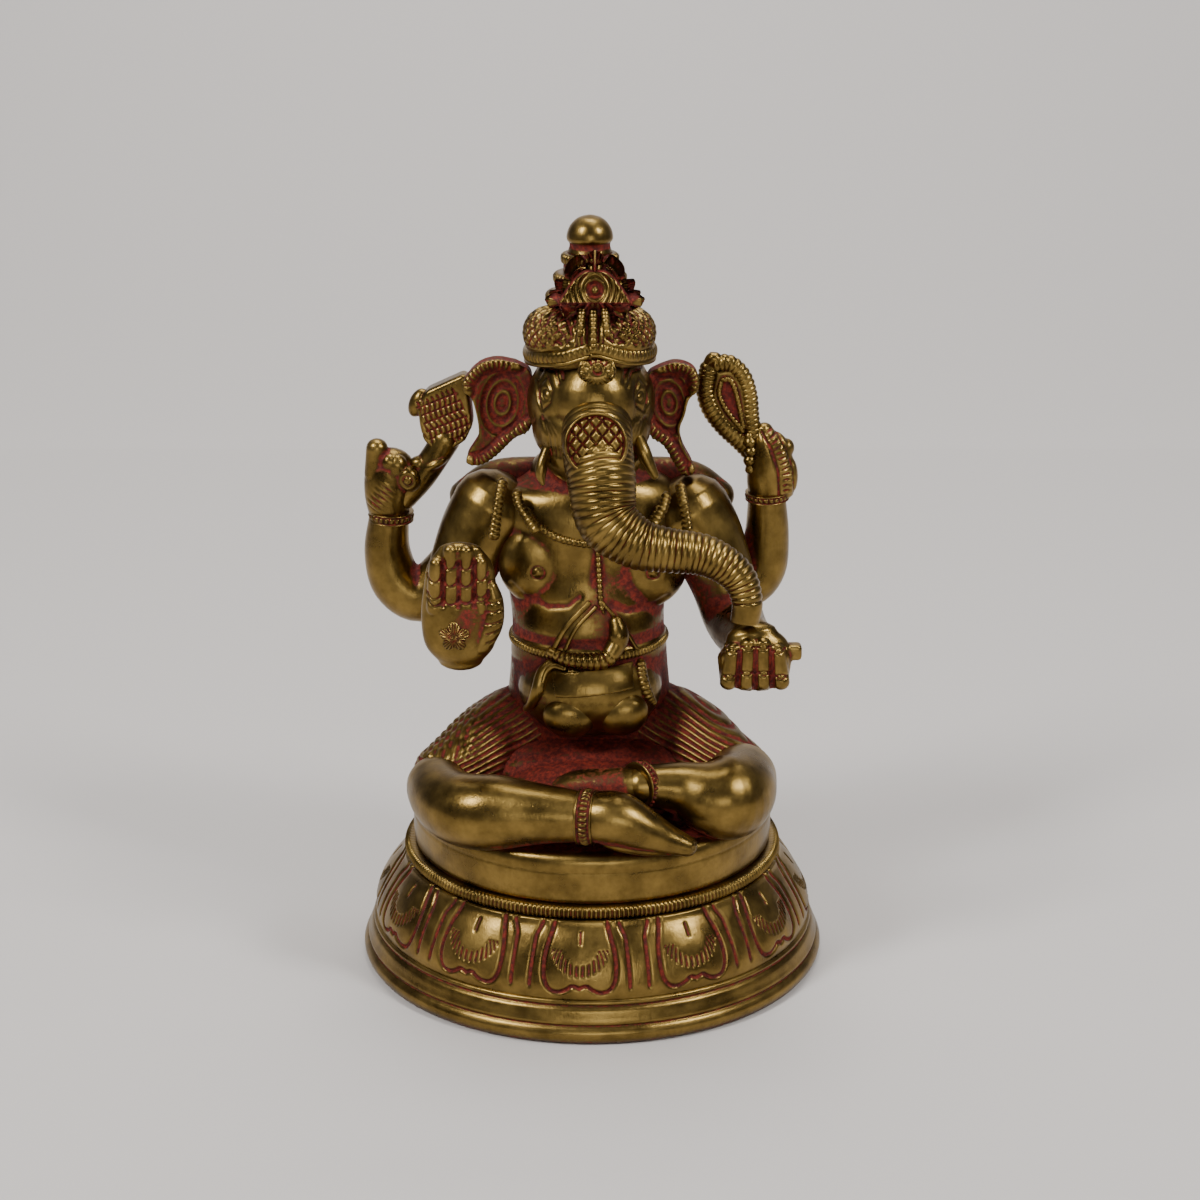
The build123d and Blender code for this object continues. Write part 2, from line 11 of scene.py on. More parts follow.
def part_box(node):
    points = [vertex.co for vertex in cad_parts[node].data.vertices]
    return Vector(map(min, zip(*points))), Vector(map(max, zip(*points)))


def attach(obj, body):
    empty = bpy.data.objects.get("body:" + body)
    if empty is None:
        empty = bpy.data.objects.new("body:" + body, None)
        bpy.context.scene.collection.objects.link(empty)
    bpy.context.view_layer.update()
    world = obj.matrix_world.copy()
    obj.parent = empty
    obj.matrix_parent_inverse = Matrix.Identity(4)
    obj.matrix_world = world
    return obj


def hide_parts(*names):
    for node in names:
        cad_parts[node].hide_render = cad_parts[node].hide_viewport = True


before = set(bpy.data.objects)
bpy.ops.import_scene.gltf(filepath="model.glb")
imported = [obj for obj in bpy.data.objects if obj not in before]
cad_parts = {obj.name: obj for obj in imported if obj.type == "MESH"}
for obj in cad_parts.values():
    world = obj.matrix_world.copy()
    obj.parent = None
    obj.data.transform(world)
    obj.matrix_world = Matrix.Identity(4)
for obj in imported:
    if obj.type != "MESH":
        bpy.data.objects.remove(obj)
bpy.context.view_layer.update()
bpy.ops.object.select_all(action="DESELECT")
scene = bpy.context.scene
mm = 0.001  # one millimetre in metres


# Where the CAD nodes are, in millimetres
def nodeBox(node):
    low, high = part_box(node)
    return np.array(low) * 1000, np.array(high) * 1000


def nodeMiddle(node):
    low, high = nodeBox(node)
    return (low + high) / 2


def fromPoint(origin, *points):
    return [tuple(origin[k] + point[k] for k in range(3)) for point in points]


# Smooth lines through a few points
def smoothPath(points, steps=8):
    p = np.array(points, float)
    if len(p) < 3:
        share = np.linspace(0, 1, steps + 1)[:, None]
        return p[0] * (1 - share) + p[-1] * share
    ends = np.vstack([2 * p[0] - p[1], p, 2 * p[-1] - p[-2]])
    out = []
    for i in range(1, len(ends) - 2):
        a, b, c, d = ends[i - 1], ends[i], ends[i + 1], ends[i + 2]
        for t in np.linspace(0, 1, steps, endpoint=False):
            out.append(0.5 * (2 * b + (c - a) * t + (2 * a - 5 * b + 4 * c - d) * t**2 + (3 * b - a - 3 * c + d) * t**3))
    out.append(p[-1])
    return np.array(out)


def evenPath(points, spacing):
    # The same line with its points a set distance apart
    line = smoothPath(points, 16)
    run = np.concatenate([[0], np.cumsum(np.linalg.norm(np.diff(line, axis=0), axis=1))])
    count = max(2, int(round(run[-1] / spacing)) + 1)
    share = np.linspace(0, run[-1], count)
    return np.stack([np.interp(share, run, line[:, k]) for k in range(line.shape[1])], axis=1), share


def meshPiece(name, verts, faces):
    mesh = bpy.data.meshes.new(name)
    mesh.from_pydata([tuple(v) for v in verts], [], faces)
    mesh.update()
    obj = bpy.data.objects.new(name, mesh)
    scene.collection.objects.link(obj)
    return obj


def gridFaces(rows, columns, wrapColumns=True, wrapRows=False):
    faces = []
    for i in range(rows if wrapRows else rows - 1):
        for j in range(columns if wrapColumns else columns - 1):
            a, b = i * columns + j, i * columns + (j + 1) % columns
            c, d = ((i + 1) % rows) * columns + (j + 1) % columns, ((i + 1) % rows) * columns + j
            faces.append((a, b, c, d))
    return faces


def lidded(rows, columns):
    # A stack of rings closed by a flat lid at each end
    count = rows * columns
    return gridFaces(rows, columns) + [tuple(range(columns)), tuple(range(count - 1, count - columns - 1, -1))]


def tube(name, points, sizes, sides=24, spacing=0.8, relief=None, side=(0.0, -1.0, 0.0), roundEnds=True):
    # A limb or cord along a smooth line: sizes are radii, or (across, deep) pairs, one for each point.
    # relief(along, share, angle) gives how far each point of the surface stands out.
    pairs = [(s, s) if isinstance(s, (int, float)) else tuple(s) for s in sizes]
    data = np.hstack([np.array(points, float), np.array(pairs, float)])
    line, run = evenPath(data, spacing)
    centres, wide, deep = line[:, :3], line[:, 3], line[:, 4]
    along = np.gradient(centres, axis=0)
    along /= np.linalg.norm(along, axis=1)[:, None]
    up = np.array(side, float)
    rings, ups = [], []
    for direction in along:
        up = up - direction * up.dot(direction)
        up /= np.linalg.norm(up)
        ups.append(up.copy())
    ups = np.array(ups)
    across = np.cross(ups, along)
    angle = np.linspace(0, 2 * pi, sides, endpoint=False)
    extra = np.zeros((len(run), sides))
    if relief is not None:
        extra = relief(run[:, None], (run / run[-1])[:, None], angle[None, :]) + extra
    for i in range(len(run)):
        a, d = wide[i] + extra[i], deep[i] + extra[i]
        rings.append(centres[i] + np.outer(np.sin(angle) * a, across[i]) + np.outer(np.cos(angle) * d, ups[i]))
    if roundEnds:
        caps = []
        for end, sign in ((0, -1), (-1, 1)):
            size = min(wide[end], deep[end])
            for k in (1, 2, 3):
                turn = pi / 2 * k / 4
                ring = (rings[end] - centres[end]) * cos(turn) + centres[end] + along[end] * sign * size * sin(turn) * 0.9
                caps.append((end, ring))
        rings = [ring for end, ring in caps[:3]][::-1] + rings + [ring for end, ring in caps[3:]]
    verts = np.vstack(rings)
    count = len(rings)
    first, last = rings[0].mean(axis=0), rings[-1].mean(axis=0)
    if roundEnds:
        first = centres[0] - along[0] * min(wide[0], deep[0]) * 0.9
        last = centres[-1] + along[-1] * min(wide[-1], deep[-1]) * 0.9
    faces = gridFaces(count, sides)
    verts = np.vstack([verts, first, last])
    a, b = count * sides, count * sides + 1
    for j in range(sides):
        faces.append((a, (j + 1) % sides, j))
        faces.append((b, (count - 1) * sides + j, (count - 1) * sides + (j + 1) % sides))
    return fixNormals(meshPiece(name, verts, faces))


def ribGap(run, pitch, power):
    # 1 in the gap between two ribs of a cord, 0 on their crests
    return (1 - np.abs(np.sin(pi * run / pitch))) ** power


def ribbed(depth, pitch, power):
    return lambda run, share, angle: -depth * ribGap(run, pitch, power)


def fixNormals(obj):
    bpy.context.view_layer.objects.active = obj
    obj.select_set(True)
    bpy.ops.object.mode_set(mode="EDIT")
    bpy.ops.mesh.select_all(action="SELECT")
    bpy.ops.mesh.normals_make_consistent(inside=False)
    bpy.ops.object.mode_set(mode="OBJECT")
    obj.select_set(False)
    return obj


def ball(centre, radii, turn=(0, 0, 0)):
    bpy.ops.mesh.primitive_uv_sphere_add(segments=32, ring_count=16, radius=1, location=centre,
                                         rotation=[radians(t) for t in turn], scale=radii)
    obj = bpy.context.active_object
    bpy.ops.object.transform_apply(location=True, rotation=True, scale=True)
    obj.select_set(False)
    return obj


def block(centre, size, edge):
    bpy.ops.mesh.primitive_cube_add(size=1, location=centre, scale=size)
    obj = bpy.context.active_object
    bpy.ops.object.transform_apply(location=True, rotation=True, scale=True)
    return applyModifier(obj, "BEVEL", width=edge, segments=3)


def applyModifier(obj, kind, **settings):
    bpy.ops.object.select_all(action="DESELECT")
    bpy.context.view_layer.objects.active = obj
    obj.select_set(True)
    modifier = obj.modifiers.new(kind.title(), kind)
    for key, value in settings.items():
        setattr(modifier, key, value)
    bpy.ops.object.modifier_apply(modifier=modifier.name)
    obj.select_set(False)
    return obj


def joinPieces(name, pieces):
    bpy.ops.object.select_all(action="DESELECT")
    for piece in pieces:
        piece.select_set(True)
    bpy.context.view_layer.objects.active = pieces[0]
    if len(pieces) > 1:
        bpy.ops.object.join()
    obj = bpy.context.active_object
    obj.name = obj.data.name = name
    obj.select_set(False)
    return obj


def sculpt(name, pieces, voxel, smooth):
    # Rough shapes welded into one skin, as clay is, then smoothed
    obj = joinPieces(name, pieces)
    applyModifier(obj, "REMESH", mode="VOXEL", voxel_size=voxel)
    return applyModifier(obj, "SMOOTH", factor=0.6, iterations=smooth)


# Vertices as arrays
def coords(obj):
    co = np.empty(len(obj.data.vertices) * 3, np.float32)
    obj.data.vertices.foreach_get("co", co)
    return co.reshape(-1, 3).astype(float)


def setCoords(obj, co):
    obj.data.vertices.foreach_set("co", co.astype(np.float32).ravel())
    obj.data.update()


def normals(obj):
    out = np.empty(len(obj.data.vertices) * 3, np.float32)
    obj.data.vertices.foreach_get("normal", out)
    return out.reshape(-1, 3).astype(float)


def edgeEnds(obj):
    ends = np.empty(len(obj.data.edges) * 2, np.int32)
    obj.data.edges.foreach_get("vertices", ends)
    return ends.reshape(-1, 2)


def spread(values, ends, rounds):
    # Averages a value over its neighbours
    count = len(values)
    degree = np.bincount(ends.ravel(), minlength=count)
    degree = np.maximum(degree, 1)
    for _ in range(rounds):
        out = np.empty_like(values)
        for k in range(values.shape[1]):
            column = values[:, k]
            total = np.bincount(ends[:, 0], column[ends[:, 1]], count) + np.bincount(ends[:, 1], column[ends[:, 0]], count)
            out[:, k] = total / degree
        values = values * 0.4 + out * 0.6
    return values


def pathDistance(co, points, closed=False):
    # The distance from each vertex to a line of points, and how far along the line that is
    line = np.array(points, float)
    if closed:
        line = np.vstack([line, line[:1]])
    best = np.full(len(co), 1e9)
    place = np.zeros(len(co))
    run = 0.0
    for a, b in zip(line, line[1:]):
        step = b - a
        length = max(np.linalg.norm(step), 1e-9)
        t = np.clip((co - a) @ step / length**2, 0, 1)
        d = np.linalg.norm(co - (a + t[:, None] * step), axis=1)
        nearer = d < best
        best = np.where(nearer, d, best)
        place = np.where(nearer, run + t * length, place)
        run += length
    return best, place


def groove(d, half):
    return np.exp(-((d / half) ** 2))


def step01(x, low, high):
    t = np.clip((x - low) / (high - low), 0, 1)
    return t * t * (3 - 2 * t)


def chased(co, points, half, origin=(0, 0, 0), closed=False):
    # A line chased in from the front: points are (across, up) from the origin
    line = [(origin[0] + a, 0, origin[2] + b) for a, b in points]
    return groove(pathDistance(co * [1, 0, 1], line, closed)[0], half)


def carve(obj, depth):
    # Moves each vertex along its normal by depth(co, normal)
    co, n = coords(obj), normals(obj)
    setCoords(obj, co + n * depth(co, n)[:, None])
    return obj


def finishPiece(obj, nodes, slotName="cast_brass", material=None, paint=0.0, reach=1.4, gain=0.22, smoothAngle=None):
    # Finds where pigment would settle, scales the piece to metres and gives it to the frame.
    co, n, ends = coords(obj), normals(obj), edgeEnds(obj)
    edge = np.linalg.norm(co[ends[:, 0]] - co[ends[:, 1]], axis=1).mean()
    rounds = int(min(60, max(3, (reach / edge) ** 2 * 1.2)))
    soft = spread(co, ends, rounds)
    hollow = ((soft - co) * n).sum(axis=1)
    recess = np.clip(hollow / gain, -1, 1)
    painted = np.clip(paint(co, n) if callable(paint) else paint, 0, 1) * np.ones(len(co))
    for key, values in (("recess", recess), ("paint", painted)):
        attribute = obj.data.attributes.new(key, "FLOAT", "POINT")
        attribute.data.foreach_set("value", values.astype(np.float32))
    setCoords(obj, co * mm)
    bpy.ops.object.select_all(action="DESELECT")
    bpy.context.view_layer.objects.active = obj
    obj.select_set(True)
    if smoothAngle is None:
        bpy.ops.object.shade_smooth()
    else:
        bpy.ops.object.shade_smooth_by_angle(angle=radians(smoothAngle))
    obj.select_set(False)
    obj.data.materials.clear()
    obj.data.materials.append(material or castBrass)
    if nodes:
        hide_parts(*nodes)
    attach(obj, "root")
    return obj


# Materials
def linear(hexValue):
    out = []
    for i in (0, 2, 4):
        c = int(hexValue[i:i + 2], 16) / 255
        out.append(c / 12.92 if c <= 0.04045 else ((c + 0.055) / 1.055) ** 2.4)
    return (*out, 1.0)


def addNode(tree, kind, settings=None, **links):
    # One node with its settings; a link is named for the input it feeds, with spaces as underscores
    node = tree.nodes.new(kind)
    for key, value in (settings or {}).items():
        if isinstance(key, int):
            node.inputs[key].default_value = value
        elif key in node.inputs.keys() and not hasattr(type(node), key):
            node.inputs[key].default_value = value
        else:
            setattr(node, key, value)
    for key, source in links.items():
        target = node.inputs[int(key[1:])] if key[0] == "i" and key[1:].isdigit() else node.inputs[key.replace("_", " ")]
        tree.links.new(source, target)
    return node


def makeBrass(name, look):
    # Brass cast in a lost-wax mould, filed and buffed by hand, with red pigment rubbed in and wiped off what stands proud:
    # it gives broad soft highlights, fine scratches, small pits, and matt red in every hollow.
    material = bpy.data.materials.new(name)
    material.use_nodes = True
    tree = material.node_tree
    tree.nodes.clear()
    out = addNode(tree, "ShaderNodeOutputMaterial")
    place = addNode(tree, "ShaderNodeTexCoord").outputs["Object"]
    recess = addNode(tree, "ShaderNodeAttribute", {"attribute_name": "recess"}).outputs["Fac"]
    painted = addNode(tree, "ShaderNodeAttribute", {"attribute_name": "paint"}).outputs["Fac"]
    # Ambient occlusion: how much nearby surfaces shut out the light; below it paints shade into the colour
    shade = addNode(tree, "ShaderNodeAmbientOcclusion", {"samples": 6, "Distance": look["paintedShadeReach"] / 1000}).outputs["AO"]

    cloud = addNode(tree, "ShaderNodeTexNoise", {"Scale": 1000 / look["cloudSize"], "Detail": 4.0, "Roughness": 0.6},
                    Vector=place).outputs["Fac"]
    speck = addNode(tree, "ShaderNodeTexNoise", {"Scale": 1000 / look["speckSize"], "Detail": 3.0, "Roughness": 0.65},
                    Vector=place).outputs["Fac"]
    stretched = addNode(tree, "ShaderNodeMapping", {"Scale": (1.0, 1.0, 0.09), "Rotation": (0.5, 0.4, 0.2)}, Vector=place)
    scratch = addNode(tree, "ShaderNodeTexNoise", {"Scale": 1000 / look["scratchWidth"], "Detail": 2.0},
                      Vector=stretched.outputs["Vector"])
    pits = addNode(tree, "ShaderNodeTexVoronoi", {"Scale": 1000 / look["pitSpacing"]}, Vector=place)

    # Where pigment and tarnish stay: in hollows, under edges and where it was rubbed in on purpose, unevenly; the
    # ambient occlusion term adds painted shade, darker and redder wherever nearby surfaces block the light
    hollow = addNode(tree, "ShaderNodeMath", {"operation": "MULTIPLY_ADD", 1: -look["paintedShadeGain"], 2: look["paintedShadeGain"]},
                     i0=shade)
    hollow = addNode(tree, "ShaderNodeMath", {"operation": "MULTIPLY_ADD", 1: look["recessGain"]}, i0=recess,
                     i2=hollow.outputs[0])
    hollow = addNode(tree, "ShaderNodeMath", {"operation": "MULTIPLY_ADD", 1: look["paintGain"]}, i0=painted,
                     i2=hollow.outputs[0])
    hollow = addNode(tree, "ShaderNodeMath", {"operation": "MULTIPLY_ADD", 1: 0.9}, i0=speck, i2=hollow.outputs[0])
    hollow = addNode(tree, "ShaderNodeMath", {"operation": "MULTIPLY_ADD", 1: 0.5}, i0=cloud, i2=hollow.outputs[0])
    total = addNode(tree, "ShaderNodeMath", {"operation": "SUBTRACT", 1: 0.7}, i0=hollow.outputs[0]).outputs[0]
    smooth = {"interpolation_type": "SMOOTHSTEP"}
    start = look["redStart"]
    red = addNode(tree, "ShaderNodeMapRange", {**smooth, "From Min": start, "From Max": start + 0.34},
                  Value=total).outputs["Result"]
    # Darker tarnish where pigment gathers, deepened by the painted shade from the ambient occlusion
    dullingAndShade = addNode(tree, "ShaderNodeMapRange", {**smooth, "From Min": start - 0.5, "From Max": start + 0.1, "To Max": 0.75},
                   Value=total)

    patches = addNode(tree, "ShaderNodeMapRange", {**smooth, "From Min": 0.3, "From Max": 0.72}, Value=cloud)
    grains = addNode(tree, "ShaderNodeMapRange", {**smooth, "From Min": 0.35, "From Max": 0.75}, Value=speck)
    tone = addNode(tree, "ShaderNodeMixRGB", {"Color1": linear(look["brassDark"]), "Color2": linear(look["brassLight"])},
                   Fac=patches.outputs["Result"])
    stain = addNode(tree, "ShaderNodeMixRGB", {"Color1": linear(look["pigmentDark"]), "Color2": linear(look["pigmentLight"])},
                    Fac=grains.outputs["Result"])
    wornAndShaded = addNode(tree, "ShaderNodeMixRGB", {"Color2": linear(look["tarnishAndShade"])}, Fac=dullingAndShade.outputs["Result"],
                   Color1=tone.outputs["Color"])
    colour = addNode(tree, "ShaderNodeMixRGB", Fac=red, Color1=wornAndShaded.outputs["Color"], Color2=stain.outputs["Color"])

    worked = addNode(tree, "ShaderNodeMapRange", {**smooth, "From Min": 0.25, "From Max": 0.8, "To Min": look["roughness"],
                     "To Max": look["roughness"] + 0.12}, Value=cloud)
    rough = addNode(tree, "ShaderNodeMath", {"operation": "MULTIPLY_ADD", 1: 0.4}, i0=red, i2=worked.outputs["Result"])
    metal = addNode(tree, "ShaderNodeMath", {"operation": "MULTIPLY_ADD", 1: -0.96, 2: 1.0}, i0=red)
    pit = addNode(tree, "ShaderNodeMapRange", {**smooth, "From Min": 0.02, "From Max": 0.16, "To Max": 0.35},
                  Value=pits.outputs["Distance"])
    height = addNode(tree, "ShaderNodeMath", {"operation": "MULTIPLY_ADD", 1: 0.5}, i0=scratch.outputs["Fac"],
                     i2=pit.outputs["Result"])
    height = addNode(tree, "ShaderNodeMath", {"operation": "MULTIPLY_ADD", 1: 0.55}, i0=speck, i2=height.outputs[0])
    bump = addNode(tree, "ShaderNodeBump", {"Strength": look["bump"], "Distance": look["bumpDepth"] / 1000},
                   Height=height.outputs[0])
    shader = addNode(tree, "ShaderNodeBsdfPrincipled", {"Specular IOR Level": 0.3}, Base_Color=colour.outputs["Color"],
                     Metallic=metal.outputs[0], Roughness=rough.outputs[0], Normal=bump.outputs["Normal"])
    tree.links.new(shader.outputs["BSDF"], out.inputs["Surface"])
    return material


# The shade reach and gain set the ambient occlusion that paints shade into the colour
brassLook = {
    "brassDark": "634F28", "brassLight": "90763F", "tarnishAndShade": "46371A",
    "pigmentDark": "430E08", "pigmentLight": "7E2817",
    "roughness": 0.26, "paintedShadeReach": 3.2, "paintedShadeGain": 1.05, "recessGain": 1.0, "paintGain": 1.1, "redStart": 0.51,
    "cloudSize": 7.0, "speckSize": 0.9, "scratchWidth": 0.35, "pitSpacing": 1.3, "bump": 0.4, "bumpDepth": 0.12,
}
castBrass = makeBrass("castBrassBuffed", brassLook)
# The same brass left less buffed, so more pigment stays on it, as on cloth, ears and the back
rubbedBrass = makeBrass("castBrassRubbedRed", {**brassLook, "redStart": 0.3, "roughness": 0.32})
rubbed = ("pigment_rubbed_brass", rubbedBrass)


# Camera and light
cameraSetup = {"place": (1.7, -429.0, 228.0), "tilt": 70.85, "lens": 65.04}


def makeCamera():
    data = bpy.data.cameras.new("camera")
    data.lens, data.sensor_width = cameraSetup["lens"], 36.0
    camera = bpy.data.objects.new("camera", data)
    camera.location = [v * mm for v in cameraSetup["place"]]
    camera.rotation_euler = (radians(cameraSetup["tilt"]), 0, 0)
    scene.collection.objects.link(camera)
    scene.camera = camera


studio = {
    "floorColour": "C8C3BF", "floorSize": 3.0, "worldColour": "C9C6C9", "worldStrength": 0.24,
    # name: place in metres, what it points at, size, power, in watts
    "lamps": {
        "softLeft": ((-0.50, -0.40, 0.72), (0, 0, 0.07), (0.16, 0.30), 6.3),
        "softRight": ((0.52, -0.34, 0.66), (0, 0, 0.07), (0.14, 0.24), 4.2),
        "softTop": ((0.05, 0.20, 0.95), (0, 0.1, 0.05), (0.50, 0.30), 4.4),
        "backdropGlow": ((0.0, 0.75, 1.3), (0, 1.6, 0.5), (1.6, 0.4), 19.0),
        "softFront": ((0.06, -0.85, 0.26), (0, 0, 0.06), (0.40, 0.22), 1.3),
    },
}


def makeStudio():
    size = studio["floorSize"]
    # The floor runs back and turns up in one soft curve
    profile = [(-size / 2, 0.0), (0.2, 0.0), (0.45, 0.004), (0.75, 0.05), (1.05, 0.17), (1.3, 0.38), (1.5, 0.7), (1.6, 1.1),
               (1.65, 1.8)]
    line = smoothPath([(0, y, z) for y, z in profile], 6)
    verts = [(x, p[1], p[2]) for p in line for x in (-size / 2, size / 2)]
    floor = meshPiece("floorSweep", verts, gridFaces(len(line), 2, wrapColumns=False))
    for face in floor.data.polygons:
        face.use_smooth = True
    material = bpy.data.materials.new("paperSweep")  # matt background paper
    material.use_nodes = True
    shader = material.node_tree.nodes["Principled BSDF"]
    shader.inputs["Base Color"].default_value = linear(studio["floorColour"])
    shader.inputs["Roughness"].default_value = 0.9
    shader.inputs["Specular IOR Level"].default_value = 0.2
    floor.data.materials.append(material)
    for name, (place, aim, (wide, tall), power) in studio["lamps"].items():
        data = bpy.data.lights.new(name, "AREA")
        data.shape, data.size, data.size_y, data.energy = "RECTANGLE", wide, tall, power
        lamp = bpy.data.objects.new(name, data)
        lamp.location = place
        lamp.rotation_euler = (Vector(aim) - Vector(place)).to_track_quat("-Z", "Y").to_euler()
        scene.collection.objects.link(lamp)
    world = bpy.data.worlds.new("studioAir")
    world.use_nodes = True
    background = world.node_tree.nodes["Background"]
    background.inputs["Color"].default_value = linear(studio["worldColour"])
    background.inputs["Strength"].default_value = studio["worldStrength"]
    scene.world = world


makeCamera()
makeStudio()
print("stage: camera and studio ready")


# Base
baseLow, baseHigh = nodeBox("lotus_base")
ringLow, ringHigh = nodeBox("bead_ring")
seatLow, seatHigh = nodeBox("seat_block")
halfWidth = (baseHigh[0] - baseLow[0]) / 2
narrow = (baseHigh[1] - baseLow[1]) / (baseHigh[0] - baseLow[0])
baseTop = baseHigh[2]
seatTop = seatHigh[2]


def ringAt(angle, radius, z):
    # One level line round the base's oval
    return np.stack([radius * np.sin(angle), -radius * np.cos(angle) * narrow, z + np.zeros_like(angle)], axis=1)


def ovalPiece(name, profile, around, relief=None):
    # A profile of (radius, height) points carried round the base's oval; relief(angle, r, z) stands out of it
    angle = np.linspace(0, 2 * pi, around, endpoint=False)
    verts = []
    for i, (r, z) in enumerate(profile):
        extra = relief(angle, i, r, z) if relief is not None else np.zeros((around, 2))
        radius = r + extra[:, 0]
        verts.append(ringAt(angle, radius, z + extra[:, 1]))
    return fixNormals(meshPiece(name, np.vstack(verts), gridFaces(len(profile), around, wrapRows=True)))


def profileLine(points, spacing):
    line, _ = evenPath([(r, 0, z) for r, z in points], spacing)
    return [(p[0], p[2]) for p in line]


petals = {
    "count": 12, "turn": -3.0, "around": 1200, "rows": 66, "grooveDepth": 0.7, "grooveHalf": 0.42,
    # half of one petal's outline: distance from its middle line in mm, share of the band's height
    "outline": [(4.9, 1.08), (5.4, 0.9), (6.6, 0.64), (7.1, 0.42), (6.9, 0.25), (5.9, 0.14), (4.2, 0.11), (2.5, 0.15),
                (1.4, 0.20), (0.0, 0.17)],
    "ridgeOffset": 1.9, "fanCentre": 0.66, "fanInner": 3.4, "fanOuter": 5.7, "fanStep": 1.2,
    "profile": [(47.1, 8.6), (47.2, 10.2), (46.9, 12.0), (45.9, 14.6), (44.4, 17.4), (42.6, 20.2), (41.1, 22.2), (40.6, 23.3)],
}


def makePetals():
    p = petals
    grow = (halfWidth / 50.0, baseTop / 23.4)
    outer, _ = evenPath([(r * grow[0], 0, z * grow[1]) for r, z in p["profile"]], 1.0)
    line, run = evenPath([tuple(q) for q in outer], (np.linalg.norm(np.diff(outer, axis=0), axis=1).sum()) / p["rows"])
    height = run[-1]
    angle = np.linspace(0, 2 * pi, p["around"], endpoint=False)
    pitch = 2 * pi / p["count"]
    local = (angle - radians(p["turn"]) + pitch / 2) % pitch - pitch / 2
    outline = np.array([(u, v * height) for u, v in p["outline"]])
    fine, _ = evenPath([(u, 0, v) for u, v in outline], 0.6)
    fine = fine[:, [0, 2]]
    verts, depths = [], []
    for (r, _, z), s in zip(line, run):
        u = np.abs(local) * r * (1 + narrow) / 2
        at = np.stack([u, np.full_like(u, s), np.zeros_like(u)], axis=1)
        edge, _ = pathDistance(at, [(a, b, 0) for a, b in fine])
        cut = groove(edge, p["grooveHalf"]) * p["grooveDepth"]
        # between petals: two grooves that leave three upright ridges
        between = pitch / 2 * r * (1 + narrow) / 2 - u
        flare = p["ridgeOffset"] * (1 + 0.5 * step01(s, height * 0.75, height))
        outside = step01(s, height * 0.10, height * 0.2)
        cut += groove(between - flare, 0.42) * 0.55 * outside
        # a short stroke down the petal and a fan of strokes round its lower half
        share = s / height
        stroke = groove(u, 0.3) * step01(share, 0.68, 0.72) * (1 - step01(share, 0.86, 0.9)) * 0.4
        du, dv = u, s - p["fanCentre"] * height
        far = np.sqrt(du**2 + dv**2)
        turn = np.degrees(np.arctan2(du, -dv))
        arc = step01(far, p["fanInner"] - 0.3, p["fanInner"] + 0.3) * (1 - step01(far, p["fanOuter"] - 0.3, p["fanOuter"] + 0.3))
        arc = arc * (turn < 86)
        steps = turn * pi / 180 * far / p["fanStep"]
        fan = arc * groove((steps % 1) - 0.5, 0.22) * 0.42
        # the petal itself swells a little above the ground between
        strokes = np.maximum(stroke, fan)
        swell = 0.5 * (1 - step01(u, 2.0, 7.4)) * sin(pi * min(max(share, 0), 1))
        depths.append(cut + 0.45 * strokes)
        radius = r - np.maximum(cut, strokes) + swell
        verts.append(ringAt(angle, radius, z))
    rows = len(line)
    for r, z in ((38.0, 23.3), (39.0, 18.0), (42.0, 12.0), (44.0, 8.6)):
        verts.append(ringAt(angle, r * grow[0], z * grow[1]))
    obj = fixNormals(meshPiece("lotusPetals", np.vstack(verts), gridFaces(rows + 4, p["around"], wrapRows=True)))
    cutAll = np.concatenate([np.concatenate(depths), np.zeros(4 * p["around"])])
    finishPiece(obj, ["lotus_base"], paint=lambda co, n: cutAll / 0.6, reach=1.0)


baseFoot = {"profile": [(44.0, 8.8), (46.9, 8.9), (47.6, 8.6), (47.75, 8.1), (47.3, 7.6), (48.1, 6.9), (48.7, 5.4), (49.1, 4.3),
                        (48.75, 3.8), (49.4, 3.3), (50.0, 2.3), (49.95, 1.2), (49.4, 0.3), (48.6, 0.0), (43.6, 0.0)]}


def makeFoot():
    grow = halfWidth / 50.0
    outer = profileLine([(r * grow, z) for r, z in baseFoot["profile"]], 0.3)
    inner = [(42.5 * grow, 0.15), (42.3 * grow, 6.2), (39.0 * grow, 14.0), (35.4 * grow, 23.2), (37.6 * grow, 23.3)]
    obj = ovalPiece("baseFoot", outer + inner, 540)
    finishPiece(obj, ["lotus_base"], reach=0.9, gain=0.14)


beadRing = {"ribs": 270, "depth": 0.34}


def makeBeadRing():
    low, high = ringLow[2], ringHigh[2]
    rx = (ringHigh[0] - ringLow[0]) / 2
    mid, half = (low + high) / 2, (high - low) / 2
    profile = [(rx - half * 0.9 + half * 0.9 * sin(t), mid + half * cos(t)) for t in np.linspace(0.12, pi - 0.12, 9)]
    profile += [(rx - 5.2, low + 0.1), (rx - 5.2, high - 0.1)]

    def ribs(angle, i, r, z):
        wave = np.cos(angle * beadRing["ribs"])
        fade = 0 if i > 8 else sin(pi * (i + 1) / 10)
        return np.stack([wave * beadRing["depth"] * fade, np.zeros_like(angle)], axis=1)

    obj = ovalPiece("beadRing", profile, beadRing["ribs"] * 6, ribs)
    finishPiece(obj, ["bead_ring"], reach=0.5, gain=0.16)


seat = {"profile": [(37.5, 25.95), (40.4, 26.0), (41.1, 26.6), (41.25, 28.0), (41.35, 29.6), (41.3, 31.6), (41.25, 32.6),
                    (41.0, 32.85),
                    (41.2, 33.15), (41.1, 34.4), (40.7, 35.5), (39.9, 36.25), (38.9, 36.55), (38.4, 36.6), (36.0, 36.6),
                    (30.0, 36.55)]}


